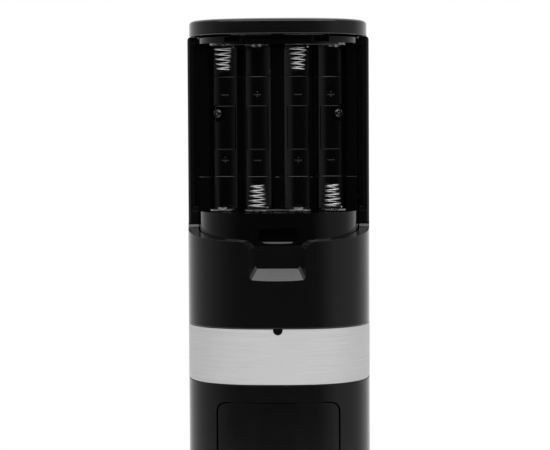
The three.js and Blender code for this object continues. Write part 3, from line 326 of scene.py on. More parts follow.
def linked(name: str, data: bpy.types.ID) -> bpy.types.Object:
    """A new object in the scene.

    Args:
        name: its name.
        data: the mesh, lamp or camera that it holds.

    Returns:
        The object.
    """
    made = bpy.data.objects.new(name, data)
    bpy.context.scene.collection.objects.link(made)
    return made


# ---------------------------------------------------------------- solids


class Form:
    """A closed solid on its way to being a piece, in millimetres."""

    def __init__(self, mesh: bpy.types.Mesh) -> None:
        """Wraps a closed mesh."""
        self.mesh = mesh

    @classmethod
    def skin(cls, corners: Iterable[Vector], faces: Iterable[Sequence[int]]) -> "Form":
        """A solid from its corners and faces.

        Args:
            corners: places of its corners.
            faces: the corners of each face, by number.

        Returns:
            The solid, with every face turned outwards.
        """
        mesh = bpy.data.meshes.new("form")
        mesh.from_pydata([tuple(c) for c in corners], [], [tuple(f) for f in faces])
        shape = bmesh.new()
        shape.from_mesh(mesh)
        bmesh.ops.recalc_face_normals(shape, faces=shape.faces)
        shape.to_mesh(mesh)
        shape.free()
        return cls(mesh)

    @classmethod
    def loft(cls, rings: Sequence[Sequence[Vector]], closed: bool = False) -> "Form":
        """A skin over a row of rings with the same number of points.

        Args:
            rings: the rings in order.
            closed: the last ring joins the first, as in a tube's wall; if not, flat faces end the row.

        Returns:
            The solid.
        """
        count = len(rings[0])
        pairs = [(a, a + 1) for a in range(len(rings) - 1)]
        if closed:
            pairs.append((len(rings) - 1, 0))
        faces: list[Sequence[int]] = []
        for a, b in pairs:
            for i in range(count):
                j = (i + 1) % count
                faces.append((a * count + i, a * count + j, b * count + j, b * count + i))
        if not closed:
            faces.append(range(count))
            faces.append(range((len(rings) - 1) * count, len(rings) * count))
        return cls.skin([point for ring in rings for point in ring], faces)

    @classmethod
    def stack(
        cls, sections: Sequence[Section], way: Direction = Direction.UPRIGHT, closed: bool = False
    ) -> "Form":
        """A skin over flat outlines that follow each other in one direction.

        Args:
            sections: the outlines, each with its distance along that direction.
            way: the direction.
            closed: the last outline joins the first.

        Returns:
            The solid.
        """
        rings = [[way.at(x, y, along) for x, y in outline] for outline, along in sections]
        return cls.loft(rings, closed)

    @classmethod
    def prism(
        cls, outline: list[Point], start: float, end: float, way: Direction = Direction.UPRIGHT
    ) -> "Form":
        """An outline drawn out straight from one distance to another."""
        return cls.stack([(outline, start), (outline, end)], way)

    @classmethod
    def block(cls, x: Point, y: Point, z: Point) -> "Form":
        """A box between two values on each axis."""
        return cls.prism(rectangle(x, y), *z)

    @classmethod
    def drill(
        cls, radius: float, at: Point, reach: Point, way: Direction = Direction.UPRIGHT, sides: int = 48
    ) -> "Form":
        """A round bar, or the drill that makes its hole.

        Args:
            radius: its radius.
            at: where its axis stands.
            reach: where it starts and ends.
            way: the direction of its axis.
            sides: facets round it.

        Returns:
            The cylinder.
        """
        return cls.prism(circle(radius, sides, *at), *reach, way)

    @classmethod
    def wall(
        cls,
        profile: Sequence[Point],
        exponent: Callable[[float], float] = lambda half: SQUARENESS,
        sides: int = SIDES,
    ) -> "Form":
        """A closed profile carried round the body's axis.

        Args:
            profile: half widths and levels of the wall's section.
            exponent: the superellipse exponent at a half width.
            sides: facets round the axis.

        Returns:
            The ring-shaped solid.
        """
        sections = [(soft_square(half, exponent(half), sides), level) for half, level in profile]
        return cls.stack(sections, closed=True)

    @classmethod
    def turned(cls, profile: Sequence[Point], x: float = 0, y: float = 0, sides: int = 64) -> "Form":
        """A solid of revolution without a hole.

        Args:
            profile: radii and levels from one end to the other.
            x: where its axis stands.
            y: where its axis stands.
            sides: facets round the axis.

        Returns:
            The solid.
        """
        return cls.stack([(circle(radius, sides, x, y), level) for radius, level in profile])

    @classmethod
    def ring(cls, profile: Sequence[Point], sides: int = 96) -> "Form":
        """A round ring with a closed profile of radii and levels."""
        return cls.wall(profile, lambda radius: ROUND, sides)

    @classmethod
    def rod(cls, path: Sequence[Vector], radius: float, sides: int = 10) -> "Form":
        """A round wire along a path, with rounded ends.

        Args:
            path: points of its centre line, which doesn't start upright.
            radius: its radius.
            sides: facets round it.

        Returns:
            The solid.
        """
        rings = []
        side = Vector((0, 0, 1)).cross(path[1] - path[0])
        standing_out, narrowed = (share * radius for share in ROD_END)
        last = len(path) - 1
        for i, point in enumerate(path):
            ahead = (path[min(i + 1, last)] - path[max(i - 1, 0)]).normalized()
            side = (side - ahead * side.dot(ahead)).normalized()
            across = ahead.cross(side)
            turns = [FULL_TURN * k / sides for k in range(sides)]
            ring = [side * math.cos(t) + across * math.sin(t) for t in turns]
            if i == 0:
                rings.append([point - ahead * standing_out + spoke * narrowed for spoke in ring])
            rings.append([point + spoke * radius for spoke in ring])
            if i == last:
                rings.append([point + ahead * standing_out + spoke * narrowed for spoke in ring])
        return cls.loft(rings)

    def _changed(self, prepare: Callable[[bpy.types.Object], None]) -> "Form":
        """The solid after modifiers.

        Args:
            prepare: adds the modifiers to an object that holds the mesh.

        Returns:
            The new solid.
        """
        holder = linked("workpiece", self.mesh)
        prepare(holder)
        graph = bpy.context.evaluated_depsgraph_get()
        mesh = bpy.data.meshes.new_from_object(holder.evaluated_get(graph))
        bpy.data.objects.remove(holder)
        return Form(mesh)

    def combined(self, how: Joining, others: Sequence["Form"]) -> "Form":
        """The solid joined with, cut by or kept to others.

        Args:
            how: the way they combine.
            others: the other solids.

        Returns:
            The new solid.
        """
        helpers = [linked("workpiece", other.mesh) for other in others]

        def prepare(holder: bpy.types.Object) -> None:
            """Adds one boolean for each of the other solids.

            Args:
                holder: the object that holds the mesh.
            """
            for helper in helpers:
                modifier = holder.modifiers.new("combine", "BOOLEAN")
                modifier.operation = how.value
                modifier.solver = "MANIFOLD"
                modifier.object = helper

        result = self._changed(prepare)
        for helper in helpers:
            bpy.data.objects.remove(helper)
        return result

    def add(self, *others: "Form") -> "Form":
        """The solid joined with others."""
        return self.combined(Joining.ADD, others)

    def cut(self, *others: "Form") -> "Form":
        """The solid cut by others."""
        return self.combined(Joining.CUT, others)

    def keep(self, other: "Form") -> "Form":
        """What the solid has in common with another."""
        return self.combined(Joining.KEEP, [other])

    def cleaned(self, distance: float = 0.02) -> "Form":
        """The solid with corners closer than a distance made one, and leftover flat edges removed.

        Args:
            distance: corners nearer than this are joined.

        Returns:
            The same solid.
        """
        shape = bmesh.new()
        shape.from_mesh(self.mesh)
        bmesh.ops.remove_doubles(shape, verts=shape.verts, dist=distance)
        bmesh.ops.dissolve_degenerate(shape, edges=shape.edges, dist=distance / 4)
        flat = math.radians(0.1)
        parts = {"verts": shape.verts, "edges": shape.edges}
        bmesh.ops.dissolve_limit(shape, angle_limit=flat, delimit={"NORMAL"}, **parts)
        shape.to_mesh(self.mesh)
        shape.free()
        return self

    def bevelled(self, width: float, segments: int = 3, angle: float = 32) -> "Form":
        """The solid with its sharp edges rounded.

        Args:
            width: how far the rounding reaches from the edge.
            segments: facets across it.
            angle: edges sharper than this many degrees are rounded.

        Returns:
            The new solid.
        """

        def prepare(holder: bpy.types.Object) -> None:
            """Adds the bevel.

            Args:
                holder: the object that holds the mesh.
            """
            modifier = holder.modifiers.new("round", "BEVEL")
            modifier.width = width
            modifier.segments = segments
            modifier.limit_method = "ANGLE"
            modifier.angle_limit = math.radians(angle)
            modifier.use_clamp_overlap = True

        return self.cleaned()._changed(prepare)

    def moved(self, x: float = 0, y: float = 0, z: float = 0) -> "Form":
        """The solid in another place."""
        self.mesh.transform(Matrix.Translation((x, y, z)))
        return self

    def turned_by(self, angle: float, axis: str = "Z") -> "Form":
        """The solid turned about an axis through the origin, by radians."""
        self.mesh.transform(Matrix.Rotation(angle, 4, axis))
        return self


def coil(radius: Point, level: Point, turns: float, end_turns: float, steps: int = 28) -> list[Vector]:
    """Centre line of a coil spring with flat end turns.

    Args:
        radius: its radius at the start and at the end.
        level: its height at the start and at the end.
        turns: working turns.
        end_turns: flat turns at each end.
        steps: points in each turn.

    Returns:
        The points of the centre line, about an upright axis.
    """
    total = turns + 2 * end_turns
    count = round(total * steps)
    points = []
    for i in range(count + 1):
        turn = total * i / count
        rise = min(max((turn - end_turns) / turns, 0), 1)
        flat = min(max(turn, 0), end_turns) + min(max(turn - end_turns - turns, 0), end_turns)
        share = (1 - FLAT_RISE) * rise + FLAT_RISE * flat / (2 * end_turns)
        r = radius[0] + (radius[1] - radius[0]) * share
        z = level[0] + (level[1] - level[0]) * share
        angle = FULL_TURN * turn
        points.append(Vector((r * math.cos(angle), r * math.sin(angle), z)))
    return points


def upright_spring(node: str, radius: float, wire: float, turns: float, end_turns: float) -> Form:
    """A coil spring about the body's axis, as high as its CAD node.

    Args:
        node: the CAD node.
        radius: radius of its centre line.
        wire: radius of its wire.
        turns: working turns.
        end_turns: flat turns at each end.

    Returns:
        The coiled wire.
    """
    low, high = extent(node)
    return Form.rod(coil((radius, radius), (low.z + wire, high.z - wire), turns, end_turns), wire)


# ---------------------------------------------------------------- shader maths


class Signal:
    """One output socket of a node tree, with arithmetic that adds Math nodes."""

    def __init__(self, graph: "Graph", socket: bpy.types.NodeSocket) -> None:
        """Wraps an output socket of a graph."""
        self.graph = graph
        self.socket = socket

    def _math(self, operation: str, first: "Source", second: "Source") -> "Signal":
        """Adds one Math node on two values."""
        return self.graph.node("ShaderNodeMath", {"operation": operation}, {0: first, 1: second})

    def __add__(self, other: "Source") -> "Signal":
        """This value plus another."""
        return self._math("ADD", self, other)

    def __radd__(self, other: "Source") -> "Signal":
        """Another value plus this one."""
        return self._math("ADD", other, self)

    def __sub__(self, other: "Source") -> "Signal":
        """This value less another."""
        return self._math("SUBTRACT", self, other)

    def __rsub__(self, other: "Source") -> "Signal":
        """Another value less this one."""
        return self._math("SUBTRACT", other, self)

    def __mul__(self, other: "Source") -> "Signal":
        """This value times another."""
        return self._math("MULTIPLY", self, other)

    def __rmul__(self, other: "Source") -> "Signal":
        """Another value times this one."""
        return self._math("MULTIPLY", other, self)

    def maximum(self, other: "Source") -> "Signal":
        """The larger of this value and another."""
        return self._math("MAXIMUM", self, other)

    def above(self, low: float, high: float) -> "Signal":
        """A smooth step from 0 at low to 1 at high.

        Args:
            low: value where the step starts.
            high: value where it ends.

        Returns:
            The step.
        """
        settings = {"interpolation_type": "SMOOTHSTEP"}
        inputs = {"Value": self, "From Min": low, "From Max": high, "To Min": 0.0, "To Max": 1.0}
        return self.graph.node("ShaderNodeMapRange", settings, inputs)


Source = Signal | float | tuple


class Graph:
    """A node tree under construction."""

    speck_threshold = 0.02  # width of the step between cells with and without a speck
    speck_core = 0.6  # share of a speck's radius that is solid
    mix_inputs = (6, 7)  # a Mix node's two colours, by number
    mix_output = 2  # its blended colour

    def __init__(self, tree: bpy.types.NodeTree) -> None:
        """Empties a tree and takes it over."""
        self.tree = tree
        tree.nodes.clear()

    def node(
        self,
        kind: str,
        settings: dict[str, object] | None = None,
        inputs: dict[str | int, Source] | None = None,
        output: str | int = 0,
    ) -> Signal:
        """Adds a node.

        Args:
            kind: its type.
            settings: its own properties, set before its sockets; "stops" are a ramp's positions and greys.
            inputs: values or links of its sockets.
            output: the output to return.

        Returns:
            The chosen output.
        """
        made = self.tree.nodes.new(kind)
        for key, value in (settings or {}).items():
            if key == "stops":
                self._set_stops(made.color_ramp, value)
            else:
                setattr(made, key, value)
        for key, value in (inputs or {}).items():
            if isinstance(value, Signal):
                self.tree.links.new(value.socket, made.inputs[key])
            else:
                made.inputs[key].default_value = value
        outputs = made.outputs
        return Signal(self, outputs[output]) if len(outputs) else Signal(self, made.inputs[0])

    @staticmethod
    def _set_stops(ramp: bpy.types.ColorRamp, stops: Sequence[tuple[float, float]]) -> None:
        """Gives a ramp its stops.

        Args:
            ramp: the ramp.
            stops: positions and grey levels.
        """
        for index, (position, grey) in enumerate(stops):
            stop = ramp.elements[index] if index < 2 else ramp.elements.new(position)
            stop.position = position
            stop.color = (grey, grey, grey, 1)

    def place(self) -> Signal:
        """The shaded point in the object's own coordinates."""
        return self.node("ShaderNodeTexCoord", output="Object")

    def scaled(self, vector: Source, factors: Corner) -> Signal:
        """A vector with each of its parts scaled."""
        return self.node("ShaderNodeVectorMath", {"operation": "MULTIPLY"}, {0: vector, 1: factors})

    def noise(
        self, per_mm: float | Corner, detail: float = 2, roughness: float = 0.5, distortion: float = 0
    ) -> Signal:
        """Noise of a given fineness.

        Args:
            per_mm: features in each millimetre, on all axes or on each.
            detail: octaves.
            roughness: strength of the finer octaves.
            distortion: how much it is warped.

        Returns:
            The noise, from 0 to 1.
        """
        factors = per_mm if isinstance(per_mm, tuple) else (per_mm,) * 3
        inputs: dict[str | int, Source] = {
            "Vector": self.scaled(self.place(), tuple(factor / MM for factor in factors)),
            "Scale": 1.0,
            "Detail": detail,
            "Roughness": roughness,
            "Distortion": distortion,
        }
        return self.node("ShaderNodeTexNoise", {"noise_dimensions": "3D"}, inputs)

    def specks(self, spacing: float, radius: float, share: float) -> Signal:
        """Small round specks scattered over a surface.

        Args:
            spacing: cell of the scatter, in millimetres.
            radius: radius of a speck, in millimetres.
            share: share of the cells that hold one.

        Returns:
            A mask, 1 on a speck.
        """
        vector = self.scaled(self.place(), (1 / MM / spacing,) * 3)
        cells = {"Vector": vector, "Scale": 1.0, "Randomness": 1.0}
        distance = self.node("ShaderNodeTexVoronoi", {"feature": "F1"}, cells, "Distance")
        colour = self.node("ShaderNodeTexVoronoi", {"feature": "F1"}, cells, "Color")
        parts = self.node("ShaderNodeSeparateColor", inputs={0: colour})
        chosen = parts.above(1 - share, 1 - share + self.speck_threshold)
        reach = radius / spacing
        return (1 - distance.above(reach * self.speck_core, reach)) * chosen

    def mix(self, factor: Source, first: Source, second: Source) -> Signal:
        """A blend of two colours.

        Args:
            factor: 0 for the first colour, 1 for the second.
            first: the first colour.
            second: the second colour.

        Returns:
            The blended colour.
        """
        settings = {"data_type": "RGBA", "clamp_factor": True}
        one, other = self.mix_inputs
        inputs = {0: factor, one: first, other: second}
        return self.node("ShaderNodeMix", settings, inputs, self.mix_output)

    def tinted(self, colour: Corner, factor: Signal) -> Signal:
        """A colour made lighter or darker by a factor that varies round 1."""
        black, doubled = (0.0, 0.0, 0.0, 1.0), (*(min(2 * part, 1.0) for part in colour), 1.0)
        return self.mix(factor * 0.5, black, doubled)

    def bump(self, height: Source, depth: float) -> Signal:
        """The surface's normal bent by a relief from 0 to 1, whose full depth is in millimetres."""
        inputs = {"Strength": 1.0, "Distance": depth * MM, "Height": height}
        return self.node("ShaderNodeBump", inputs=inputs)

    def surface(self, inputs: dict[str | int, Source]) -> None:
        """Ends a material's tree with a Principled shader."""
        shader = self.node("ShaderNodeBsdfPrincipled", inputs=inputs)
        self.node("ShaderNodeOutputMaterial", inputs={"Surface": shader})


# ---------------------------------------------------------------- finishes


class Finish:
    """A surface finish that builds its own material."""

    def draw(self, graph: Graph) -> None:
        """Adds the finish's nodes to an empty tree."""
        raise NotImplementedError

    def material(self, name: str) -> bpy.types.Material:
        """A new material with this finish.

        Args:
            name: its name.

        Returns:
            The material.
        """
        made = bpy.data.materials.new(name)
        made.use_nodes = True
        self.draw(Graph(made.node_tree))
        return made


@dataclass(frozen=True)
class MouldedPlastic(Finish):
    """Moulded plastic: fine grain, soft handling haze, a few dust specks."""

    colour: Corner
    roughness: float = 0.3
    grain_per_mm: float = 6.0
    grain_depth: float = 0.004
    haze: float = 0.06
    dust: float = 0.0
    specular: float = 0.5
    shade: Point = (0.9, 0.2)  # base and swing
    haze_per_mm: float = 0.09
    wisps_per_mm: Corner = (0.5, 0.5, 0.12)
    specks: Corner = (4.6, 0.17, 0.06)  # spacing, radius and share of the cells
    dust_colour: tuple[float, ...] = (0.32, 0.32, 0.31, 1.0)
    dust_roughness: float = 0.4

    def draw(self, graph: Graph) -> None:
        """Adds the plastic's nodes.

        Args:
            graph: the material's tree.
        """
        grain = graph.noise(self.grain_per_mm, detail=3, roughness=0.6)
        haze = graph.noise(self.haze_per_mm, detail=4, roughness=0.6, distortion=0.4)
        wisps = graph.noise(self.wisps_per_mm, detail=3)
        dust = graph.specks(*self.specks) * self.dust
        body = graph.tinted(self.colour, self.shade[0] + grain * self.shade[1])
        dusty = graph.mix(dust, body, self.dust_colour)
        cloudy = self.roughness + (haze - 0.5) * self.haze * 2 + (wisps - 0.5) * self.haze
        rough = cloudy + dust * self.dust_roughness
        graph.surface(
            {
                "Base Color": dusty,
                "Roughness": rough,
                "Specular IOR Level": self.specular,
                "Normal": graph.bump(grain, self.grain_depth),
            }
        )


@dataclass(frozen=True)
class BrushedSteel(Finish):
    """Stainless steel brushed round the body, with long fine lines."""

    colour: Corner
    roughness: float = 0.34
    line_per_mm: float = 7.0
    run_per_mm: float = 0.035
    depth: float = 0.006
    metallic: float = 1.0
    stroke_factors: Point = (4.0, 2.2)
    cloud_per_mm: float = 0.05
    shade: tuple[float, ...] = (0.76, 0.5, 0.3, 0.08)  # base, and what lines, strokes and cloud add
    rough_shares: Point = (0.14, 0.1)

    def draw(self, graph: Graph) -> None:
        """Adds the brushed steel's nodes.

        Args:
            graph: the material's tree.
        """
        run, (shorter, finer) = self.run_per_mm, self.stroke_factors
        lines = graph.noise((run, run, self.line_per_mm), detail=4, roughness=0.75)
        short = (run * shorter, run * shorter, self.line_per_mm * finer)
        strokes = graph.noise(short, detail=2, roughness=0.6)
        cloud = graph.noise(self.cloud_per_mm, detail=2)
        base, by_line, by_stroke, by_cloud = self.shade
        shade = base + lines * by_line + (strokes - 0.5) * by_stroke + (cloud - 0.5) * by_cloud
        by_line, by_stroke = self.rough_shares
        rough = self.roughness + (lines - 0.5) * by_line + (strokes - 0.5) * by_stroke
        graph.surface(
            {
                "Base Color": graph.tinted(self.colour, shade),
                "Metallic": self.metallic,
                "Roughness": rough,
                "Normal": graph.bump(lines + strokes * 0.5, self.depth),
            }
        )


@dataclass(frozen=True)
class BareMetal(Finish):
    """Plated or drawn metal: fine drawing marks, and dulled patches."""

    colour: Corner
    roughness: float = 0.25
    marks_per_mm: Corner = (3.0, 3.0, 3.0)
    depth: float = 0.003
    tarnish: float = 0.15
    patches_per_mm: float = 0.35
    patch_edge: Point = (0.5, 0.75)
    dulled: float = 0.62
    shade: Point = (0.9, 0.2)  # base and swing
    rough_shares: Point = (0.12, 0.5)

    def draw(self, graph: Graph) -> None:
        """Adds the metal's nodes.

        Args:
            graph: the material's tree.
        """
        marks = graph.noise(self.marks_per_mm, detail=3, roughness=0.6)
        patches = graph.noise(self.patches_per_mm, detail=3).above(*self.patch_edge) * self.tarnish
        dull = tuple(part * self.dulled for part in self.colour)
        clean = graph.tinted(self.colour, self.shade[0] + marks * self.shade[1])
        by_mark, by_patch = self.rough_shares
        graph.surface(
            {
                "Base Color": graph.mix(patches, clean, (*dull, 1.0)),
                "Metallic": 1.0,
                "Roughness": self.roughness + (marks - 0.5) * by_mark + patches * by_patch,
                "Normal": graph.bump(marks, self.depth),
            }
        )


@dataclass(frozen=True)
class FiredCeramic(Finish):
    """Fired ceramic: chalky, with fine pores and pepper-stained hollows."""

    colour: Corner
    roughness: float = 0.5
    chalk_roughness: float = 0.2
    pores: Corner = (0.5, 0.12, 0.4)  # spacing, radius and share of the cells
    chalk_per_mm: float = 1.6
    stain_per_mm: float = 0.28
    stain_edge: Point = (0.52, 0.8)
    stain_share: float = 0.3
    stain_colour: tuple[float, ...] = (0.45, 0.4, 0.31, 1.0)
    shade: Corner = (0.93, 0.14, 0.12)  # base, and what chalk adds and pores take
    depth: float = 0.012

    def draw(self, graph: Graph) -> None:
        """Adds the ceramic's nodes.

        Args:
            graph: the material's tree.
        """
        pores = graph.specks(*self.pores)
        chalk = graph.noise(self.chalk_per_mm, detail=4, roughness=0.6)
        stain = graph.noise(self.stain_per_mm, detail=4, roughness=0.65)
        stain = stain.above(*self.stain_edge) * self.stain_share
        base, by_chalk, by_pore = self.shade
        body = graph.tinted(self.colour, base + chalk * by_chalk - pores * by_pore)
        graph.surface(
            {
                "Base Color": graph.mix(stain, body, self.stain_colour),
                "Roughness": self.roughness + (chalk - 0.5) * self.chalk_roughness,
                "Normal": graph.bump(chalk - pores, self.depth),
            }
        )


@dataclass(frozen=True)
class BoardLaminate(Finish):
    """Printed circuit board: lacquer over woven glass."""

    colour: Corner
    weave_per_mm: float = 2.4
    cloud_per_mm: float = 0.4
    shade: Corner = (0.8, 0.25, 0.15)  # base, and what weave and cloud add
    roughness: Point = (0.3, 0.12)  # base, and what the weave adds
    depth: float = 0.006

    def draw(self, graph: Graph) -> None:
        """Adds the board's nodes.

        Args:
            graph: the material's tree.
        """
        threads = []
        for part in range(2):
            axis = graph.node("ShaderNodeSeparateXYZ", inputs={0: graph.place()}, output=part)
            phase = axis * (FULL_TURN * self.weave_per_mm / MM)
            threads.append(graph.node("ShaderNodeMath", {"operation": "SINE"}, {0: phase}))
        weave = threads[0] * threads[1] * 0.5 + 0.5
        cloud = graph.noise(self.cloud_per_mm, detail=3)
        base, by_weave, by_cloud = self.shade
        smooth, rougher = self.roughness
        graph.surface(
            {
                "Base Color": graph.tinted(self.colour, base + weave * by_weave + cloud * by_cloud),
                "Roughness": smooth + weave * rougher,
                "Normal": graph.bump(weave, self.depth),
            }
        )


FINISHES: dict[Slot, Finish] = {
    Slot.GLOSS_BLACK: MouldedPlastic((0.003, 0.003, 0.0032), 0.14, 7.0, 0.0016, 0.03, 0.25),
    Slot.MATTE_BLACK: MouldedPlastic((0.02, 0.02, 0.021), 0.48, 5.0, 0.012, 0.06, 0.3),
    Slot.BRUSHED_BAND: BrushedSteel((0.97, 0.97, 0.975), 0.6, depth=0.012, metallic=0.4),
    Slot.SPRING_STEEL: BareMetal((0.78, 0.77, 0.75), 0.16, (2.0, 2.0, 2.0), 0.002, 0.1),
    Slot.NICKEL_PLATE: BareMetal((0.66, 0.65, 0.62), 0.24, (4.0, 4.0, 4.0), 0.003, 0.25),
    Slot.DARK_STEEL: BareMetal((0.3, 0.3, 0.31), 0.34, (5.0, 5.0, 0.3), 0.004, 0.2),
    Slot.MOTOR_ZINC: BareMetal((0.5, 0.51, 0.52), 0.36, (1.2, 1.2, 1.2), 0.006, 0.35),
    Slot.BRONZE: BareMetal((0.6, 0.4, 0.2), 0.34, (0.6, 0.6, 5.0), 0.004, 0.3),
    Slot.CERAMIC_WHITE: FiredCeramic((0.86, 0.85, 0.81)),
    Slot.NYLON_WHITE: MouldedPlastic((0.8, 0.78, 0.72), 0.42, 4.0, 0.006, 0.08),
    Slot.ACETAL_CREAM: MouldedPlastic((0.74, 0.71, 0.62), 0.36, 3.0, 0.006, 0.08),
    Slot.BOARD_GREEN: BoardLaminate((0.03, 0.15, 0.07)),
    Slot.WIRE_RED: MouldedPlastic((0.5, 0.02, 0.02), 0.4, 3.0, 0.01, 0.05),
    Slot.WIRE_BLACK: MouldedPlastic((0.02, 0.02, 0.02), 0.4, 3.0, 0.01, 0.05),
}


class Bench:
    """Gives pieces their finish and sets them on the frame."""

    sharp_edge = math.radians(38)

    def __init__(self) -> None:
        """Makes one material for each slot."""
        self.materials = {slot: finish.material(slot.value) for slot, finish in FINISHES.items()}

    def place(
        self, form: Form, name: str, slot: Slot, *nodes: str, finish: Finish | None = None
    ) -> bpy.types.Object:
        """Sets a piece where its CAD nodes are.

        Args:
            form: its shape, in millimetres.
            name: its name.
            slot: the material slot its finish comes from.
            nodes: the CAD nodes that it stands for; it rides on the first one's body.
            finish: a finish of its own in place of the slot's.

        Returns:
            The piece.
        """
        mesh = form.mesh
        mesh.name = name
        mesh.transform(Matrix.Scale(MM, 4))
        mesh.shade_smooth()
        mesh.set_sharp_from_angle(angle=self.sharp_edge)
        mesh.materials.clear()
        mesh.materials.append(finish.material(name) if finish else self.materials[slot])
        piece = linked(name, mesh)
        normals = piece.modifiers.new("even_shading", "WEIGHTED_NORMAL")
        normals.keep_sharp = True
        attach(piece, frame["nodes"][nodes[0]]["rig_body"])
        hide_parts(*nodes)
        log.info("piece %s: %d faces, for %s", name, len(mesh.polygons), ", ".join(nodes))
        return piece

    def dress(self, slot: Slot, *nodes: str) -> None:
        """Gives CAD nodes that stay their finish.

        Args:
            slot: the material slot.
            nodes: the nodes.
        """
        for name in nodes:
            node = frame["nodes"][name]
            if not node.material_slots:
                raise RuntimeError(f"{name} has no material slot")
            for material_slot in node.material_slots:
                material_slot.material = self.materials[slot]
            log.info("dressed %s as %s", name, slot.value)


# ---------------------------------------------------------------- container


@dataclass
class Container:
    """The pepper container with its steel band, base ring and refill hatch."""

    half: float = 27.5
    wall: float = 3.3
    bottom: float = 14.0
    top: float = 97.85
    neck_half: float = 26.4
    neck_top: float = 113.9
    ledge: Point = (30.0, 32.0)
    ledge_hole: float = 16.5
    ledge_blend: Point = (0.5, 5.0)
    edge: float = 0.4
    band: Point = (98.05, 114.35)
    band_wall: float = 0.8
    key_half: float = 1.4
    key_bottom: float = 112.6
    base_top: float = 13.7
    base_inner: float = 22.4
    foot: Point = (0.4, 1.0)  # inset and height of its rounding
    spigot_half: float = 23.9
    spigot_top: float = 18.0
    hatch: tuple[Point, Point] = ((-17.75, 17.75), (45.25, 92.42))
    hatch_gap: float = 0.5
    hatch_top_gap: float = 0.45
    hatch_undercut: float = 1.0
    hatch_land: float = 0.1
    hatch_spare: float = 5.0
    hatch_corner: float = 2.4
    hatch_thickness: float = 2.2
    hatch_lip: float = 2.5
    axis: Point = (-26.3, 46.45)
    pin_radius: float = 0.6
    pin_half: float = 8.7
    ear: Point = (6.3, 9.0)
    ear_y: Point = (-0.8, 1.6)  # from the pin's axis
    ear_top: float = 1.2
    ear_foot: float = 1.5
    ear_room: float = 1.8  # over the axis, in the panel
    toe_chamfer: float = 0.6
    scoop_half: float = 7.5
    scoop_radius: float = 36.0
    scoop_depth: float = 0.25
    # shares of the scoop's half width, and how much smaller its radius is there
    scoop_ends: tuple[Point, ...] = ((0.7, 0.0), (0.86, 0.12), (1.0, 0.6))

    def build(self, bench: Bench) -> None:
        """Builds and dresses every piece of the container.

        Args:
            bench: gives each piece its finish.
        """
        bench.place(self.body(), "pepper_container", Slot.GLOSS_BLACK, "container_body")
        bench.place(self.steel_band(), "brushed_band", Slot.BRUSHED_BAND, "steel_band")
        bench.place(self.base(), "foot_ring", Slot.GLOSS_BLACK, "base_ring")
        bench.place(self.door(), "hatch_door", Slot.GLOSS_BLACK, "refill_hatch")
        pin = self.hinge_rod(self.pin_radius, self.pin_half, 32).bevelled(0.15)
        bench.place(pin, "hatch_pin", Slot.NICKEL_PLATE, "hatch_hinge_pin")

    def squareness(self, half: float) -> float:
        """Exponent of the container's rings: round at the ledge's hole, soft-square at the wall."""
        round_up_to, square_from = self.ledge_blend
        return squareness_at(half, self.ledge_hole + round_up_to, self.ledge_hole + square_from)

    def outline(self, margin: float) -> list[Point]:
        """Front view of the hatch.

        Args:
            margin: how much larger it is on each side.

        Returns:
            The outline's points.
        """
        (x0, x1), (z0, z1) = self.hatch
        over = min(margin, self.hatch_top_gap)
        x, z = (x0 - margin, x1 + margin), (z0 - margin, z1 + over)
        return rounded_box(x, z, self.hatch_corner + margin)

    def front_shell(self, margin: float, inner: float, outer: float) -> Form:
        """The front stretch of a soft-square wall, as seen through the hatch's outline.

        Args:
            margin: how much larger than the hatch.
            inner: half width of the wall's inside.
            outer: half width of its outside.

        Returns:
            The curved panel.
        """
        low, high = self.hatch[1][0] - self.hatch_spare, self.hatch[1][1] + self.hatch_spare
        shell = Form.wall(rectangle((inner, outer), (low, high)))
        return shell.keep(Form.prism(self.outline(margin), -2 * self.half, 0, Direction.ALONG_Y))

    def hinge_rod(self, radius: float, reach: float, sides: int = 24) -> Form:
        """A rod on the hatch's axis, to a distance on each side."""
        return Form.drill(radius, self.axis, (-reach, reach), Direction.ALONG_X, sides)

    def body(self) -> Form:
        """The container's wall, neck and ledge, with the hatch's opening and hinge ears."""
        inner, edge = self.half - self.wall, self.edge
        low_ledge, high_ledge = self.ledge
        profile = eased(
            [
                (inner, self.bottom, edge),
                (self.half, self.bottom, edge),
                (self.half, self.top, edge / 6),
                (self.neck_half, self.top, edge / 2),
                (self.neck_half, self.neck_top, edge),
                (inner, self.neck_top, edge),
                (inner, high_ledge, edge),
                (self.ledge_hole, high_ledge, edge),
                (self.ledge_hole, low_ledge, edge),
                (inner, low_ledge, edge),
            ]
        )
        shell = Form.wall(profile, self.squareness)
        seat = self.half - self.hatch_thickness - GAP
        recess = self.front_shell(self.hatch_gap, seat, self.half + OVERRUN)
        (_, x1), (z0, z1) = self.hatch
        hole_x = (self.hatch_lip - x1, x1 - self.hatch_lip)
        hole = rounded_box(hole_x, (z0 - self.hatch_gap, z1 - self.hatch_lip), self.hatch_corner)
        opening = Form.prism(hole, -2 * self.half, 0, Direction.ALONG_Y)
        walled = shell.cut(recess, opening).bevelled(0.1, segments=2, angle=40)
        ears = [self.hinge_ear(side) for side in LEFT_RIGHT]
        bore = self.hinge_rod(self.pin_radius + GAP / 2, self.pin_half + GAP)
        return walled.add(*ears).cut(bore)

    def hinge_ear(self, side: int) -> Form:
        """One of the two ears that hold the hatch's pin.

        Args:
            side: -1 for the left one, 1 for the right one.

        Returns:
            The ear, rounded round the pin.
        """
        y, z = self.axis
        bottom = self.hatch[1][0] - self.hatch_gap - self.ear_foot
        depth = (y + self.ear_y[0], y + self.ear_y[1])
        section = oblong(depth, (bottom, z + self.ear_top), (0, 0, 0.8, 0.7))
        return Form.prism(section, *mirrored(side, *self.ear), Direction.ALONG_X)

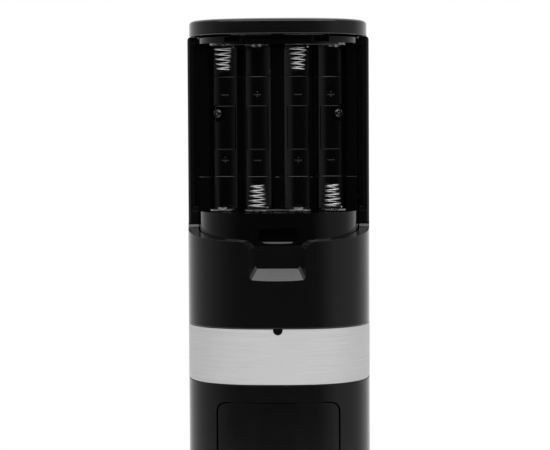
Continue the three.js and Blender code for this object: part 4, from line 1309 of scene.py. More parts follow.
    def door(self) -> Form:
        """The refill hatch: a curved panel with a fingertip scoop in its top edge."""
        panel = self.front_shell(0, self.half - self.hatch_thickness, self.half)
        z0, z1 = self.hatch[1]
        levels = (z0 - OVERRUN, self.axis[1] + self.ear_room)
        ears = [mirrored(side, self.ear[0] - GAP, self.ear[1] + GAP) for side in LEFT_RIGHT]
        slots = [Form.block(x, (-2 * self.half, 0), levels) for x in ears]
        face, size = -self.half, self.toe_chamfer
        toe = [(face - OVERRUN, z0 + size), (face - OVERRUN, z0 - OVERRUN)]
        toe += [(face + size + OVERRUN, z0 - OVERRUN), (face + size, z0), (face, z0 + size)]
        chamfer = Form.prism(toe, -OUTSIDE, OUTSIDE, Direction.ALONG_X)
        bore = self.hinge_rod(self.pin_radius + GAP / 2, OUTSIDE)
        shaped = panel.cut(*slots, chamfer, self.scoop(z1), self.top_slope(z1))
        return shaped.bevelled(0.15, segments=3, angle=40).cut(bore)

    def top_slope(self, level: float) -> Form:
        """The cutter that lets the panel's top edge fall towards its inside.

        Args:
            level: the panel's top edge.

        Returns:
            The cutter, which follows the wall round.
        """
        back, front = self.half - self.hatch_thickness - OVERRUN, self.half - self.hatch_land
        outside, over = self.half + OVERRUN, level + OVERRUN
        slope = [(back, level - self.hatch_undercut), (front, level)]
        return Form.wall([*slope, (outside, level), (outside, over), (back, over)])

    def scoop(self, level: float) -> Form:
        """The cutter of the fingertip scoop, a drum that dips into the panel's top edge.

        Args:
            level: the panel's top edge.

        Returns:
            The cutter, with eased ends.
        """
        y = -self.half - self.scoop_radius + self.scoop_depth
        stations = [(-x, shrink) for x, shrink in reversed(self.scoop_ends)] + list(self.scoop_ends)
        sections = []
        for x, shrink in stations:
            sections.append((circle(self.scoop_radius - shrink, SIDES, y, level), x * self.scoop_half))
        return Form.stack(sections, Direction.ALONG_X)

    def steel_band(self) -> Form:
        """The steel band, with the notch for the head's key."""
        profile = oblong((self.half - self.band_wall, self.half), self.band, (0.1, 0.24, 0.24, 0.1))
        notch = tongue(self.key_half, self.band[1] + 2 * OVERRUN, self.key_bottom, 16)
        slot = Form.prism(notch, -2 * self.half, 0, Direction.ALONG_Y)
        return Form.wall(profile).cut(slot).bevelled(0.12, segments=2, angle=40)

    def base(self) -> Form:
        """The base ring, with a rounded foot and the spigot that centres it."""
        profile = eased(
            [
                (self.base_inner, 0, 0.5),
                (self.half - self.foot[0], 0, 0.4),
                (self.half, self.foot[1], 0.8),
                (self.half, self.base_top, self.edge),
                (self.spigot_half, self.base_top, 0.2),
                (self.spigot_half, self.spigot_top, 0.4),
                (self.base_inner, self.spigot_top, 0.4),
            ]
        )
        return Form.wall(profile)


# ---------------------------------------------------------------- grinder


@dataclass
class Grinder:
    """The feed funnel, the burrs and the coarseness adjuster."""

    rim_radius: float = 23.9
    funnel: Point = (32.3, 44.5)
    funnel_wall: float = 1.5
    throat: float = 15.5
    throat_wall: float = 2.5
    throat_levels: Point = (2.2, 2.9)  # from the funnel's foot to its inner and outer bend
    hub_radius: float = 6.4
    hub_height: float = 4.6
    bush_radius: float = 4.764
    shaft_radius: float = 3.464
    shaft_easing: float = 0.35
    tip_play: float = 0.1
    arm_width: float = 2.6
    arm_height: float = 3.6
    arms: int = 3
    bridge_top: float = 14.6
    bridge_bottom: float = 11.4
    bridge_rings: Point = (14.5, 19.0)
    bridge_hub_radius: float = 5.0
    bridge_hub_height: float = 5.5
    bridge_hub_drop: float = 1.2
    knob: Point = (1.2, 6.5)
    knob_radius: float = 10.0
    knob_ribs: int = 24
    facets_per_rib: int = 8
    rib_depth: float = 0.35
    screw_radius: float = 2.5
    screw_top: float = 13.4
    thread_depth: float = 0.22
    thread_half: float = 0.35
    sign_x: float = 5.6
    sign_reach: float = 2.0
    sign_half: float = 0.5
    sign_gap: float = 0.4
    sign_depth: float = 0.35
    lift: float = 0.6

    def build(self, bench: Bench) -> None:
        """Builds and dresses every piece of the grinder.

        Args:
            bench: gives each piece its finish.
        """
        bench.place(self.feed_funnel(), "feed_funnel", Slot.MATTE_BLACK, "hopper_funnel")
        bench.place(self.guide_bush(), "guide_bush", Slot.BRONZE, "shaft_guide_bush")
        bench.place(self.bridge(), "adjuster_bridge", Slot.MATTE_BLACK, "grinder_bridge")
        bench.place(self.adjuster(), "coarseness_knob", Slot.MATTE_BLACK, "adjuster_knob")
        bench.place(self.shaft(), "grinder_shaft", Slot.DARK_STEEL, "drive_shaft")
        coiled = upright_spring("burr_spring", radius=4.5, wire=0.3, turns=1.5, end_turns=0.5)
        spring = bench.place(coiled, "burr_coil", Slot.SPRING_STEEL, "burr_spring")
        low, high = extent("burr_spring")
        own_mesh(spring)
        bench.dress(Slot.MATTE_BLACK, "burr_holder")
        bench.dress(Slot.CERAMIC_WHITE, "stator_burr", "rotor_burr")
        bench.dress(Slot.DARK_STEEL, "thrust_pin")

    def spokes(self, start: float, end: float, levels: Point) -> list[Form]:
        """The arms of a spider.

        Args:
            start: distance from the axis where they start.
            end: distance where they end.
            levels: their underside and top.

        Returns:
            The arms.
        """
        half = self.arm_width / 2
        section = oblong((-half, half), levels, (0.2, 0.2, 0.9, 0.9))
        turns = [FULL_TURN * i / self.arms + math.pi / 2 for i in range(self.arms)]
        return [Form.prism(section, start, end, Direction.ALONG_X).turned_by(turn) for turn in turns]

    def feed_funnel(self) -> Form:
        """The feed cone with its three-armed hub."""
        low, high = self.funnel
        outside, (inner_bend, outer_bend) = self.throat + self.throat_wall, self.throat_levels
        profile = [
            (self.rim_radius, high, 0.4),
            (self.rim_radius - self.funnel_wall, high, 0.4),
            (self.throat, low + inner_bend, 1.2),
            (self.throat, low, 0.2),
            (outside, low, 0.2),
            (outside, low + outer_bend, 0.5),
            (self.rim_radius, high - self.funnel_wall, 0.5),
        ]
        cone = Form.ring(eased(profile, 5), 128)
        hub_top = low + self.hub_height
        hub = Form.turned(post(self.hub_radius, (low, hub_top), foot=0.2, head=0.5))
        arm_end = self.throat + self.funnel_wall / 2
        spider = self.spokes(self.hub_radius - OVERRUN, arm_end, (low, low + self.arm_height))
        bore = Form.drill(self.bush_radius + GAP, (0, 0), (low - OVERRUN, hub_top + OVERRUN))
        return cone.add(hub, *spider).cut(bore)

    def guide_bush(self) -> Form:
        """The bronze bush that guides the shaft."""
        low = self.funnel[0]
        radii, levels = (self.shaft_radius + GAP, self.bush_radius), (low, low + self.hub_height)
        return Form.ring(oblong(radii, levels, (0.2, 0.15, 0.3, 0.3)), 64)

    def shaft(self) -> Form:
        """The hexagonal drive shaft with a chamfered tip."""
        low, high = extent("drive_shaft")
        sections = []
        for radius, level in post(self.shaft_radius, (low.z, high.z - self.tip_play), foot=0.3, head=0.7):
            hexagon = [(x, y, self.shaft_easing) for x, y in circle(radius, 6)]
            sections.append((eased(hexagon, 3), level))
        return Form.stack(sections)

    def bridge(self) -> Form:
        """The three-armed bridge under the burrs."""
        low, high = self.bridge_bottom, self.bridge_top
        ring = Form.ring(oblong(self.bridge_rings, (low, high), (0.4, 0.5, 0.2, 0.2)))
        hub_top = high - self.bridge_hub_drop
        hub_levels = (hub_top - self.bridge_hub_height, hub_top)
        hub = Form.turned(post(self.bridge_hub_radius, hub_levels, foot=0.4, head=0.3))
        arm = (self.bridge_hub_radius - OVERRUN, self.bridge_rings[0] + OVERRUN)
        bore = Form.drill(self.screw_radius + GAP, (0, 0), (self.knob[1], high + OVERRUN))
        return ring.add(hub, *self.spokes(*arm, (low, hub_top))).cut(bore)

    def adjuster(self) -> Form:
        """The ribbed coarseness knob and its screw, with a plus and a minus sign pressed into its face."""
        low, high = self.knob
        foot = [(1.0, low, 0.0), (0.25, low + 0.4, 0.6), (0.0, low + 1.0, 1.0)]
        head = [(0.0, high - 0.8, 1.0), (0.5, high, 0.4)]
        sections = [(self.ribbed(shrink, ribs), level) for shrink, level, ribs in foot + head]
        radius, outside = self.screw_radius, self.screw_radius + OVERRUN
        screw = Form.turned(post(radius, (high - OVERRUN, self.screw_top), head=0.4), sides=40)
        threads = []
        for level in range(round(high) + 1, round(self.screw_top) - 1):
            edges = (level - self.thread_half, level + self.thread_half)
            groove = [(radius - self.thread_depth, level), (outside, edges[0]), (outside, edges[1])]
            threads.append(Form.ring(groove, 40))
        return Form.stack(sections).add(screw.cut(*threads)).cut(*self.signs())

    def ribbed(self, shrink: float, ribs: float) -> list[Point]:
        """Outline of the knob at one level.

        Args:
            shrink: how much smaller its radius is than the knob's.
            ribs: how deep its ribs are, as a share of their full depth.

        Returns:
            The outline's points.
        """
        count = self.knob_ribs * self.facets_per_rib
        points = []
        for i in range(count):
            t = FULL_TURN * i / count
            groove = self.rib_depth * (1 - math.cos(t * self.knob_ribs)) * ribs
            r = self.knob_radius - shrink - groove
            points.append((r * math.cos(t), r * math.sin(t)))
        return points

    def signs(self) -> list[Form]:
        """The cutters of the plus and the minus sign in the knob's face."""
        low = self.knob[0]
        near, far = self.sign_x - self.sign_reach, self.sign_x + self.sign_reach
        half, depth = self.sign_half, (low - OVERRUN, low + self.sign_depth)
        stem = (self.sign_x - half, self.sign_x + half)
        plus = [Form.block((near, far), (-half, half), depth)]
        for side in LEFT_RIGHT:
            plus.append(Form.block(stem, mirrored(side, self.sign_gap, self.sign_reach), depth))
        return [*plus, Form.block((-far, -near), (-half, half), depth)]


# ---------------------------------------------------------------- head


@dataclass
class HeadHousing:
    """The head's outer shell, open at the front above the sloping door seat."""

    half: float = 27.5
    inner: float = 24.4
    bottom: float = 114.5
    top: float = 200.7
    edge: float = 0.3
    cut_y: float = -2.0
    seat_front: float = 139.9
    seat_side: float = 143.3
    column_foot: float = 0.6
    column_chamfer: float = 0.7
    drum_half: float = 24.1
    groove_x: Point = (24.3, 25.6)
    groove_z: Point = (149.2, 198.4)
    groove_depth: float = 2.6
    web: Point = (118.3, 120.3)
    web_hole: float = 14.5
    web_foot: float = 0.8
    web_blend: Point = (0.5, 1.0)
    pilot_radius: float = 1.1
    key_half: float = 1.3
    key_length: float = 1.8
    key_y: Point = (-27.45, -26.75)
    notch_back_half: float = 6.6
    notch_front_half: float = 8.4
    notch_front: float = 1.5
    notch_corner: float = 3.0
    notch_shoulder: float = 2.2
    notch_foot: Point = (0.6, 0.84)  # width and height of the corners at its floor
    notch_floor: float = 131.9
    notch_over: float = 4.0
    seat_room: float = 0.02
    backing_spare: float = 1.6
    backing_back: float = -22.5
    backing: Point = (126.5, 138.7)
    trim: tuple[Point, Point] = ((-11.0, 11.0), (-24.35, -22.0))
    trim_height: float = 3.0
    recess_x: Point = (2.0, 0.9)  # in from the groove, in from the side
    recess_depth: float = 0.35
    recess_foot: float = 1.2
    recess_top: float = 198.9
    boss_radius: float = 3.0
    boss_bore: float = 1.4
    boss_bore_y: Point = (-3.5, 9.1)
    boss_front: float = -2.2
    boss_x: float = 18.5
    boss_z: float = 177.9
    shelf: tuple[Point, Point] = ((-8.0, 8.0), (186.6, 188.2))
    shelf_front: float = -0.5

    def build(self, bench: Bench) -> None:
        """Builds and dresses the housing."""
        bench.place(self.shell(), "head_shell", Slot.GLOSS_BLACK, "head_housing")

    def seat_level(self, y: float) -> float:
        """Level of the door seat at a depth."""
        rise = (self.seat_side - self.seat_front) / (self.half + self.cut_y)
        return self.seat_front + rise * (y + self.half)

    def door_space(self) -> Form:
        """Everything over the seat and in front of the side walls."""
        far, top = -2 * self.half, self.top + OVERRUN
        foot = self.cut_y - self.column_foot
        seat = [(far, self.seat_level(far)), (foot, self.seat_level(foot))]
        outline = [(self.cut_y, top), (far, top), *seat, (self.cut_y, self.seat_side + self.column_foot)]
        return Form.prism(outline, far, -far, Direction.ALONG_X)

    def key(self) -> Form:
        """The key tab on the lower edge, with a round end."""
        outline = tongue(self.key_half, self.bottom + OVERRUN, self.bottom - self.key_length, 20)
        return Form.prism(outline, *self.key_y, Direction.ALONG_Y)

    def notch(self) -> Form:
        """The cutter of the finger notch: flared sides, rounded corners and a sloping lip."""
        foot, foot_rise = self.notch_foot
        sections = []
        for y in (-self.half - self.notch_front, -self.drum_half):
            depth = (y + self.half) / (self.half - self.drum_half)
            half = self.notch_front_half + (self.notch_back_half - self.notch_front_half) * depth
            seat = self.seat_level(y) + self.seat_room
            floor = self.notch_floor + (y + self.drum_half)
            reach = half + self.notch_shoulder * self.notch_corner
            corners = [
                (-reach, seat + self.notch_over, 0),
                (-reach, seat, 0),
                (-half, seat, self.notch_corner),
                (-half, floor + foot_rise, foot / 2),
                (foot - half, floor, foot / 3),
            ]
            corners += [(-x, z, radius) for x, z, radius in reversed(corners)]
            sections.append((eased(corners, 6), y))
        return Form.stack(sections, Direction.ALONG_Y)

    def backing_wall(self) -> Form:
        """The wall behind the notch, which stands flush with the battery frame."""
        half = self.notch_front_half + self.backing_spare
        low, high = self.backing
        return Form.block((-half, half), (-self.inner - OVERRUN, self.backing_back), (low, high + OVERRUN))

    def column_edge(self, side: int) -> Form:
        """The cutter that chamfers a side wall's outer front edge.

        Args:
            side: -1 for the left wall, 1 for the right one.

        Returns:
            The cutter.
        """
        size, over = self.column_chamfer, self.column_chamfer + OVERRUN
        corners = [(self.half - size, self.cut_y - OVERRUN), (self.half + OVERRUN, self.cut_y - OVERRUN)]
        corners += [(self.half + OVERRUN, self.cut_y + over), (self.half - size, self.cut_y)]
        outline = [(side * x, y) for x, y in corners]
        return Form.prism(outline, self.seat_side + 2 * self.column_foot, self.top + OVERRUN)

    def column_recess(self, side: int) -> Form:
        """The cutter that steps a side wall's front face back below its top block.

        Args:
            side: -1 for the left wall, 1 for the right one.

        Returns:
            The cutter.
        """
        x = mirrored(side, self.groove_x[0] - self.recess_x[0], self.half - self.recess_x[1])
        y = (self.cut_y - OVERRUN, self.cut_y + self.recess_depth)
        return Form.block(x, y, (self.groove_z[0] - self.recess_foot, self.recess_top))

    def shell(self) -> Form:
        """The whole housing."""
        profile = oblong((self.inner, self.half), (self.bottom, self.top), (0.2, self.edge, 1.0, 0.3))
        groove_y = (self.cut_y - OVERRUN, self.cut_y + self.groove_depth)
        groove_x = [mirrored(side, *self.groove_x) for side in LEFT_RIGHT]
        grooves = [Form.block(x, groove_y, self.groove_z) for x in groove_x]
        opened = Form.wall(profile).cut(self.door_space()).add(self.backing_wall()).cut(self.notch())
        opened = opened.cut(*[self.column_edge(side) for side in LEFT_RIGHT])
        opened = opened.cut(*[self.column_recess(side) for side in LEFT_RIGHT], *grooves)
        rim = self.backing[1]
        above = Form.block(*self.trim, (rim, rim + self.trim_height))
        trimmed = opened.bevelled(0.4, segments=4, angle=34).cut(above)
        shelf = Form.block(self.shelf[0], (self.shelf_front, self.inner + OVERRUN), self.shelf[1])
        inside = Form.prism(soft_square(self.inner + OVERRUN), self.bottom, self.top)
        posts = [self.boss(side * self.boss_x).keep(inside) for side in LEFT_RIGHT]
        key = self.key().bevelled(0.12, segments=2)
        whole = trimmed.add(self.web_plate(), key, shelf.keep(inside), *posts)
        bores = []
        for side in LEFT_RIGHT:
            at = (side * self.boss_x, self.boss_z)
            bores.append(Form.drill(self.boss_bore, at, self.boss_bore_y, Direction.ALONG_Y, 24))
        return whole.cut(*bores, *self.screw_pilots())

    def boss(self, x: float) -> Form:
        """A post that takes one of the frame's screws, at a distance from the middle."""
        reach = (self.boss_front, self.inner)
        return Form.drill(self.boss_radius, (x, self.boss_z), reach, Direction.ALONG_Y, 40)

    def web_plate(self) -> Form:
        """The plate that carries the motor, with its round hole."""
        inner, outer = self.web_hole, self.inner + self.web_foot
        profile = oblong((inner, outer), self.web, (0.3, 0, 0, 0.3))
        round_up_to, square_from = inner + self.web_blend[0], outer - self.web_blend[1]
        return Form.wall(profile, lambda half: squareness_at(half, round_up_to, square_from))

    def screw_pilots(self) -> list[Form]:
        """The holes that take the gearbox cup's screws."""
        reach = (self.web[0] - OVERRUN, self.web[1] + OVERRUN)
        places = [middle(f"gearbox_screw_{number}") for number in range(1, 5)]
        return [Form.drill(self.pilot_radius, at, reach, sides=20) for at in places]


@dataclass
class CapAndButton:
    """The top cap, the push button and the switch under it."""

    half: float = 26.8
    inner: float = 24.4
    cap: Point = (200.5, 205.0)
    side_low: float = 200.82
    lip_back: float = -9.0
    plate: float = 2.1
    shoulder: float = 0.9
    collar: float = 4.0
    blend: float = 0.5
    button_radius: float = 14.6
    flange: float = 1.8
    flange_levels: Point = (201.7, 202.6)
    rim: tuple[Point, ...] = ((0.0, 0.55), (0.16, 0.2), (0.55, 0.03), (1.1, 0.01))  # insets and drops
    dish: float = 0.35
    dish_inset: float = 1.4
    dish_drop: float = 0.03
    dish_centre: float = 0.02
    dish_steps: int = 8
    stem_radius: float = 2.0
    stem_bottom: float = 196.5
    stem_foot: float = 0.4
    plunger_radius: float = 1.6
    plunger_height: float = 1.4
    plunger_foot: float = 0.5
    behind: float = 8.5
    spring_wire: float = 0.3
    spring_radius: float = 5.2
    spring_turns: Point = (3.4, 0.8)  # working turns, flat turns at each end
    travel: float = 1.2

    def build(self, bench: Bench) -> None:
        """Builds and dresses the cap, the button and the switch.

        Args:
            bench: gives each piece its finish.
        """
        bench.place(self.cap_shell(), "cap_shell", Slot.GLOSS_BLACK, "top_cap")
        bench.place(self.button(), "press_button", Slot.GLOSS_BLACK, "push_button")
        coiled = upright_spring("button_spring", self.spring_radius, self.spring_wire, *self.spring_turns)
        piece = bench.place(coiled.moved(0, self.behind), "button_coil", Slot.SPRING_STEEL, "button_spring")
        low, high = extent("button_spring")
        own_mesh(piece)
        bench.place(self.switch(), "tact_switch", Slot.MATTE_BLACK, "button_switch")
        bench.dress(Slot.BOARD_GREEN, "switch_board")

    def cap_shell(self) -> Form:
        """The cap: a soft-square skirt and a plate with a round hole."""
        low, high = self.cap
        hole = self.button_radius + GAP
        under, collar = high - self.plate, hole + self.collar
        profile = [
            (self.inner, low, 0.25),
            (self.half, low, 0.3),
            (self.half, high, self.shoulder),
            (collar, high, 0),
            (hole, high, 0.35),
            (hole, under, 0.2),
            (collar, under, 0),
            (self.inner, under, 0.3),
        ]
        raised = Form.block((-OUTSIDE, OUTSIDE), (self.lip_back, OUTSIDE), (low - OVERRUN, self.side_low))
        round_up_to, square_from = hole + self.blend, collar + self.blend
        shell = Form.wall(eased(profile, 5), lambda half: squareness_at(half, round_up_to, square_from))
        return shell.cut(raised)

    def button(self) -> Form:
        """The button: a dished face, a flange that holds it in the cap, and a stem."""
        high, r = self.cap[1], self.button_radius
        low, flange_top = self.flange_levels
        profile = [(r + self.flange, low), (r + self.flange, flange_top), (r, flange_top)]
        profile += [(r - inset, high - drop) for inset, drop in self.rim]
        for i in range(self.dish_steps + 1):
            share = 1 - i / self.dish_steps
            level = high - self.dish_drop - self.dish * (1 - share**2)
            profile.append(((r - self.dish_inset) * share + self.dish_centre, level))
        face = Form.turned(profile, sides=128)
        stem = post(self.stem_radius, (self.stem_bottom, low + self.stem_foot), foot=0.3)
        return face.add(Form.turned(stem, y=self.behind, sides=40))

    def switch(self) -> Form:
        """The tactile switch: a square housing with a chamfered rim and a round plunger."""
        low, high = extent("button_switch")
        body_top = high.z - self.plunger_height
        sections = []
        for half, level in post((high.x - low.x) / 2, (low.z, body_top), foot=0.2, head=0.3):
            y = (self.behind - half, self.behind + half)
            sections.append((rounded_box((-half, half), y, 0.4, 4), level))
        plunger = post(self.plunger_radius, (body_top - self.plunger_foot, high.z), head=0.25)
        return Form.stack(sections).add(Form.turned(plunger, y=self.behind, sides=40))


@dataclass
class Bay:
    """One cell's trough in the battery frame."""

    x: float
    y: float
    plus_up: bool

    @property
    def spring_up(self) -> bool:
        """True where the spring hangs from the top contact: the cell's minus end is there."""
        return not self.plus_up


@dataclass
class BatteryFrame:
    """The drum with the four cell bays, its screws and its contacts."""

    half: float = 24.1
    wall: float = 1.5
    bottom: float = 138.76
    top: float = 200.2
    back_y: float = -2.5
    floor: float = 148.2
    ceiling: float = 198.4
    trough: float = 5.6
    side_front_y: float = -8.0
    ridge_outer_y: float = -10.3
    ridge_centre_y: float = -13.0
    bays: tuple[Bay, ...] = (
        Bay(-15.95, -11.11, False),
        Bay(-6.1, -14.6, True),
        Bay(6.1, -14.6, False),
        Bay(15.95, -11.11, True),
    )
    channel: Point = (198.9, 199.8)
    channel_half: float = 23.0
    rim: tuple[Point, ...] = ((0.0, 0.3), (0.1, 0.1), (0.3, 0.0))  # insets and drops
    lip: Point = (197.55, 22.2)  # level and inner half width
    lip_rise: Point = (9.0, 0.8)  # half width of its level stretch, rise at the sides
    tab_x: Point = (10.7, 15.3)
    tab_z: Point = (198.35, 199.85)
    tab_back: float = -17.5
    channel_back: float = -8.0
    latch_half: float = 5.7
    latch: Point = (139.9, 143.7)
    latch_back: float = -19.5
    latch_wall: float = 1.0
    sill: Point = (0.16, 0.36)  # depth and height
    hollow_drop: float = 1.8
    relief: tuple[Point, Point] = ((-8.6, 8.6), (-7.5, 0.0))
    relief_inset: float = 2.0
    tag_slot: tuple[float, ...] = (2.8, 1.3, 0.5)  # behind the bay's axis, half width, half depth
    tag_slot_z: Point = (-3.0, 1.0)  # from the floor
    screw_x: float = 18.4
    screw_z: float = 177.6
    screw_hole: float = 1.4
    counterbore: float = 2.5
    counterbore_y: Point = (-40.0, -3.9)
    screw_seat_y: float = -4.2
    screw_shank: Point = (1.1, 7.8)  # radius and tip
    screw_head: tuple[Point, ...] = (  # radii and heights over the seat
        (1.6, 0.0),
        (1.6, 0.55),
        (1.48, 0.9),
        (1.2, 1.15),
        (0.7, 1.28),
        (0.2, 1.3),
    )
    cross_arm: Point = (1.05, 0.26)  # half length and half width
    # shares of the arm, corner radii and heights over the seat
    cross: tuple[Corner, ...] = ((1.0, 0.1, 1.8), (1.0, 0.1, 0.75), (0.45, 0.05, 0.35))
    seams: tuple[float, ...] = (188.6, 158.6)
    seam_width: float = 0.4
    seam_depth: float = 0.3
    cell_mark: tuple[Point, Point] = ((-3.0, 3.0), (166.5, 179.8))
    mark_line: float = 0.3
    mark_rise: float = 0.24
    mark_y: Point = (-20.5, -2.0)
    mark_half: float = 4.0
    mark_levels: Point = (160.0, 190.0)
    mark_window: Point = (150.0, 195.0)
    sign_away: float = 3.2
    sign_reach: float = 1.1
    sign_half: float = 0.2
    spring_radii: Point = (2.95, 2.15)
    spring_turns: Point = (4.0, 0.5)
    spring_length: float = 7.2
    spring_wire: float = 0.25
    # a darker copy of the gloss black: painted shade for the deep compartment that little light reaches
    finish: Finish = MouldedPlastic((0.0013, 0.0013, 0.0014), 0.1, 7.0, 0.0012, 0.02, specular=0.34)
    screw_finish: Finish = BareMetal((0.07, 0.069, 0.067), 0.28, (4.0, 4.0, 4.0), 0.003, 0.25)

    def build(self, bench: Bench) -> None:
        """Builds and dresses the frame, its screws, contacts and springs.

        Args:
            bench: gives each piece its finish.
        """
        bench.place(self.drum(), "battery_drum", Slot.GLOSS_BLACK, "battery_frame", finish=self.finish)
        for side, x in (("left", -self.screw_x), ("right", self.screw_x)):
            name, node = f"drum_screw_{side}", f"frame_screw_{side}"
            bench.place(self.screw(x), name, Slot.NICKEL_PLATE, node, finish=self.screw_finish)
        for number, bay in enumerate(self.bays, 1):
            node = f"contact_spring_{number}"
            bench.place(self.contact_spring(bay, node), f"cell_spring_{number}", Slot.SPRING_STEEL, node)
        links = ("contact_link_top_left", "contact_link_top_right", "contact_link_bottom")
        bench.dress(Slot.NICKEL_PLATE, *links, "contact_positive", "contact_negative")

    def pockets(self, levels: Point, deeper: Point = (0, 0)) -> list[Form]:
        """The cutters of the four troughs and of the open space in front of them.

        Args:
            levels: where the cutters start and end.
            deeper: how much further they reach than the finished surface, at the start and at the end.

        Returns:
            The cutters.
        """
        far = 2 * self.half
        inner_x, outer_x = self.bays[2].x + self.trough / 2, self.bays[3].x
        side_x = outer_x + math.sqrt(self.trough**2 - (self.side_front_y - self.bays[3].y) ** 2)

        def drawn(outline: Callable[[float], list[Point]]) -> Form:
            """A cutter from its outline at an extra depth."""
            return Form.stack([(outline(more), level) for level, more in zip(levels, deeper, strict=True)])

        def front(x: Point, back: float) -> Form:
            """A cutter of the space between two sides, in front of a plane."""
            return drawn(lambda more: rectangle(x, (-far, back + more)))

        tools = [front((-far, far), self.ridge_centre_y)]
        for side in LEFT_RIGHT:
            tools.append(front(mirrored(side, inner_x, far), self.ridge_outer_y))
            tools.append(front(mirrored(side, side_x, far), self.side_front_y))
        for bay in self.bays:
            tools.append(drawn(lambda more, bay=bay: circle(self.trough + more, 96, bay.x, bay.y)))
        return tools

    def marks(self) -> list[Form]:
        """Raised marks in the troughs: each cell's outline, and its plus and minus signs."""
        (x0, x1), (z0, z1) = self.cell_mark
        line, half, reach = self.mark_line, self.sign_half, self.sign_reach
        made = []
        for bay in self.bays:
            wide, tall = (bay.x + x0, bay.x + x1), (z0, z1)
            frame_outer = Form.prism(rounded_box(wide, tall, 0.5, 3), *self.mark_y, Direction.ALONG_Y)
            hollow = rounded_box((wide[0] + line, wide[1] - line), (z0 + line, z1 - line), 0.3, 3)
            hollow_y = (self.mark_y[0] - line, 0)
            outline = frame_outer.cut(Form.prism(hollow, *hollow_y, Direction.ALONG_Y))
            ends = (z1 + self.sign_away, z0 - self.sign_away)
            plus, minus = ends if bay.plus_up else reversed(ends)
            bar, stem = (bay.x - reach, bay.x + reach), (bay.x - half, bay.x + half)
            strokes = [
                outline,
                Form.block(bar, self.mark_y, (plus - half, plus + half)),
                Form.block(stem, self.mark_y, (plus - reach, plus - half)),
                Form.block(stem, self.mark_y, (plus + half, plus + reach)),
                Form.block(bar, self.mark_y, (minus - half, minus + half)),
            ]
            skin = self.trough_skin(bay)
            made += [skin.keep(stroke).bevelled(0.1, segments=2, angle=40) for stroke in strokes]
        return made

    def trough_skin(self, bay: Bay) -> Form:
        """The thin layer at the back of a trough that the marks are cut from.

        Args:
            bay: the trough's bay.

        Returns:
            The layer.
        """
        (low, high), at = self.mark_levels, (bay.x, bay.y)
        skin = Form.drill(self.trough + self.mark_line, at, (low, high), sides=96)
        core = Form.drill(self.trough - self.mark_rise, at, (low - OVERRUN, high + OVERRUN), sides=96)
        window = Form.block((bay.x - self.mark_half, bay.x + self.mark_half), (bay.y, 0), self.mark_window)
        return skin.cut(core).keep(window)

    def seam_grooves(self) -> list[Form]:
        """The cutters of the fine seams across the troughs."""
        half, made = self.seam_width / 2, []
        for level in self.seams:
            made += self.pockets((level - half, level + half), (0, self.seam_depth))
        return made

    def drum(self) -> Form:
        """The drum: cut open for the cells, with its latch, tab slots and screw seats."""
        far = 2 * self.half
        steps = [(0.0, self.bottom - OVERRUN)] + [(inset, self.top - drop) for inset, drop in self.rim]
        outside = Form.stack([(soft_square(self.half - inset), level) for inset, level in steps])
        front = Form.block((-far, far), (-far, self.back_y), FULL_HEIGHT)
        body = outside.keep(front).cut(*self.pockets((self.floor, self.ceiling))).add(self.lip_ring())
        rounded = body.cut(*self.door_slots()).bevelled(0.2, segments=3, angle=34)
        thick, half = self.latch_wall, self.latch_half + self.latch_wall
        levels = (self.bottom, self.latch[1] + thick)
        latch_box = Form.block((-half, half), (-far, self.latch_back + thick), levels)
        hollow_levels = (self.bottom - 2 * OVERRUN, self.floor - self.hollow_drop)
        hollow = Form.prism(soft_square(self.half - self.wall), *hollow_levels).cut(latch_box)
        relief_z = (self.floor + self.relief_inset, self.ceiling - self.relief_inset)
        relief = Form.block(*self.relief, relief_z)
        trim = Form.block((-far, far), (-far, far), (self.bottom - 5 * OVERRUN, self.bottom))
        holes = [self.screw_seat(x) for x in (-self.screw_x, self.screw_x)]
        cut = rounded.cut(hollow, relief, trim, *holes, *self.tag_slots(), *self.seam_grooves())
        return cut.add(*self.marks())

    def lip_ring(self) -> Form:
        """The lip under the ceiling, in front of the bays, whose lower edge rises at the sides."""
        far = 2 * self.half
        (low, inner), (flat_half, rise) = self.lip, self.lip_rise
        ring = Form.wall(rectangle((inner, self.half), (low, self.ceiling + OVERRUN)))
        under = [(-far, self.ceiling), (-self.half, low + rise), (-flat_half, low), (flat_half, low)]
        under += [(self.half, low + rise), (far, self.ceiling), (far, 0), (-far, 0)]
        ring = ring.cut(Form.prism(under, -far, far, Direction.ALONG_Y))
        return ring.keep(Form.block((-far, far), (-far, self.side_front_y), FULL_HEIGHT))

    def door_slots(self) -> list[Form]:
        """The cutters for the door: its channel, its two tabs, its latch and the latch's sill."""
        far, end = 2 * self.half, self.tab_x[0] + OVERRUN
        channel = Form.wall(rectangle((self.channel_half, far), self.channel))
        channel = channel.keep(Form.block((-end, end), (-far, self.channel_back), FULL_HEIGHT))
        tab_y = (-far, self.tab_back)
        tabs = [Form.block(mirrored(side, *self.tab_x), tab_y, self.tab_z) for side in LEFT_RIGHT]
        latch = Form.block((-self.latch_half, self.latch_half), (-far, self.latch_back), self.latch)
        outside, low = -self.half - OVERRUN, self.latch[0]
        deep, tall = self.sill
        ramp = [(outside, low - tall * (deep + OVERRUN) / deep), (deep - self.half, low), (outside, low)]
        sill = Form.prism(ramp, -self.latch_half, self.latch_half, Direction.ALONG_X)
        return [channel, *tabs, latch, sill]

    def tag_slots(self) -> list[Form]:
        """The cutters of the floor's slots for the two end contacts' tags."""
        behind, half_x, half_y = self.tag_slot
        y = self.bays[0].y + behind
        levels = (self.floor + self.tag_slot_z[0], self.floor + self.tag_slot_z[1])
        slots = []
        for node in ("contact_positive", "contact_negative"):
            x, _ = middle(node)
            slots.append(Form.block((x - half_x, x + half_x), (y - half_y, y + half_y), levels))
        return slots

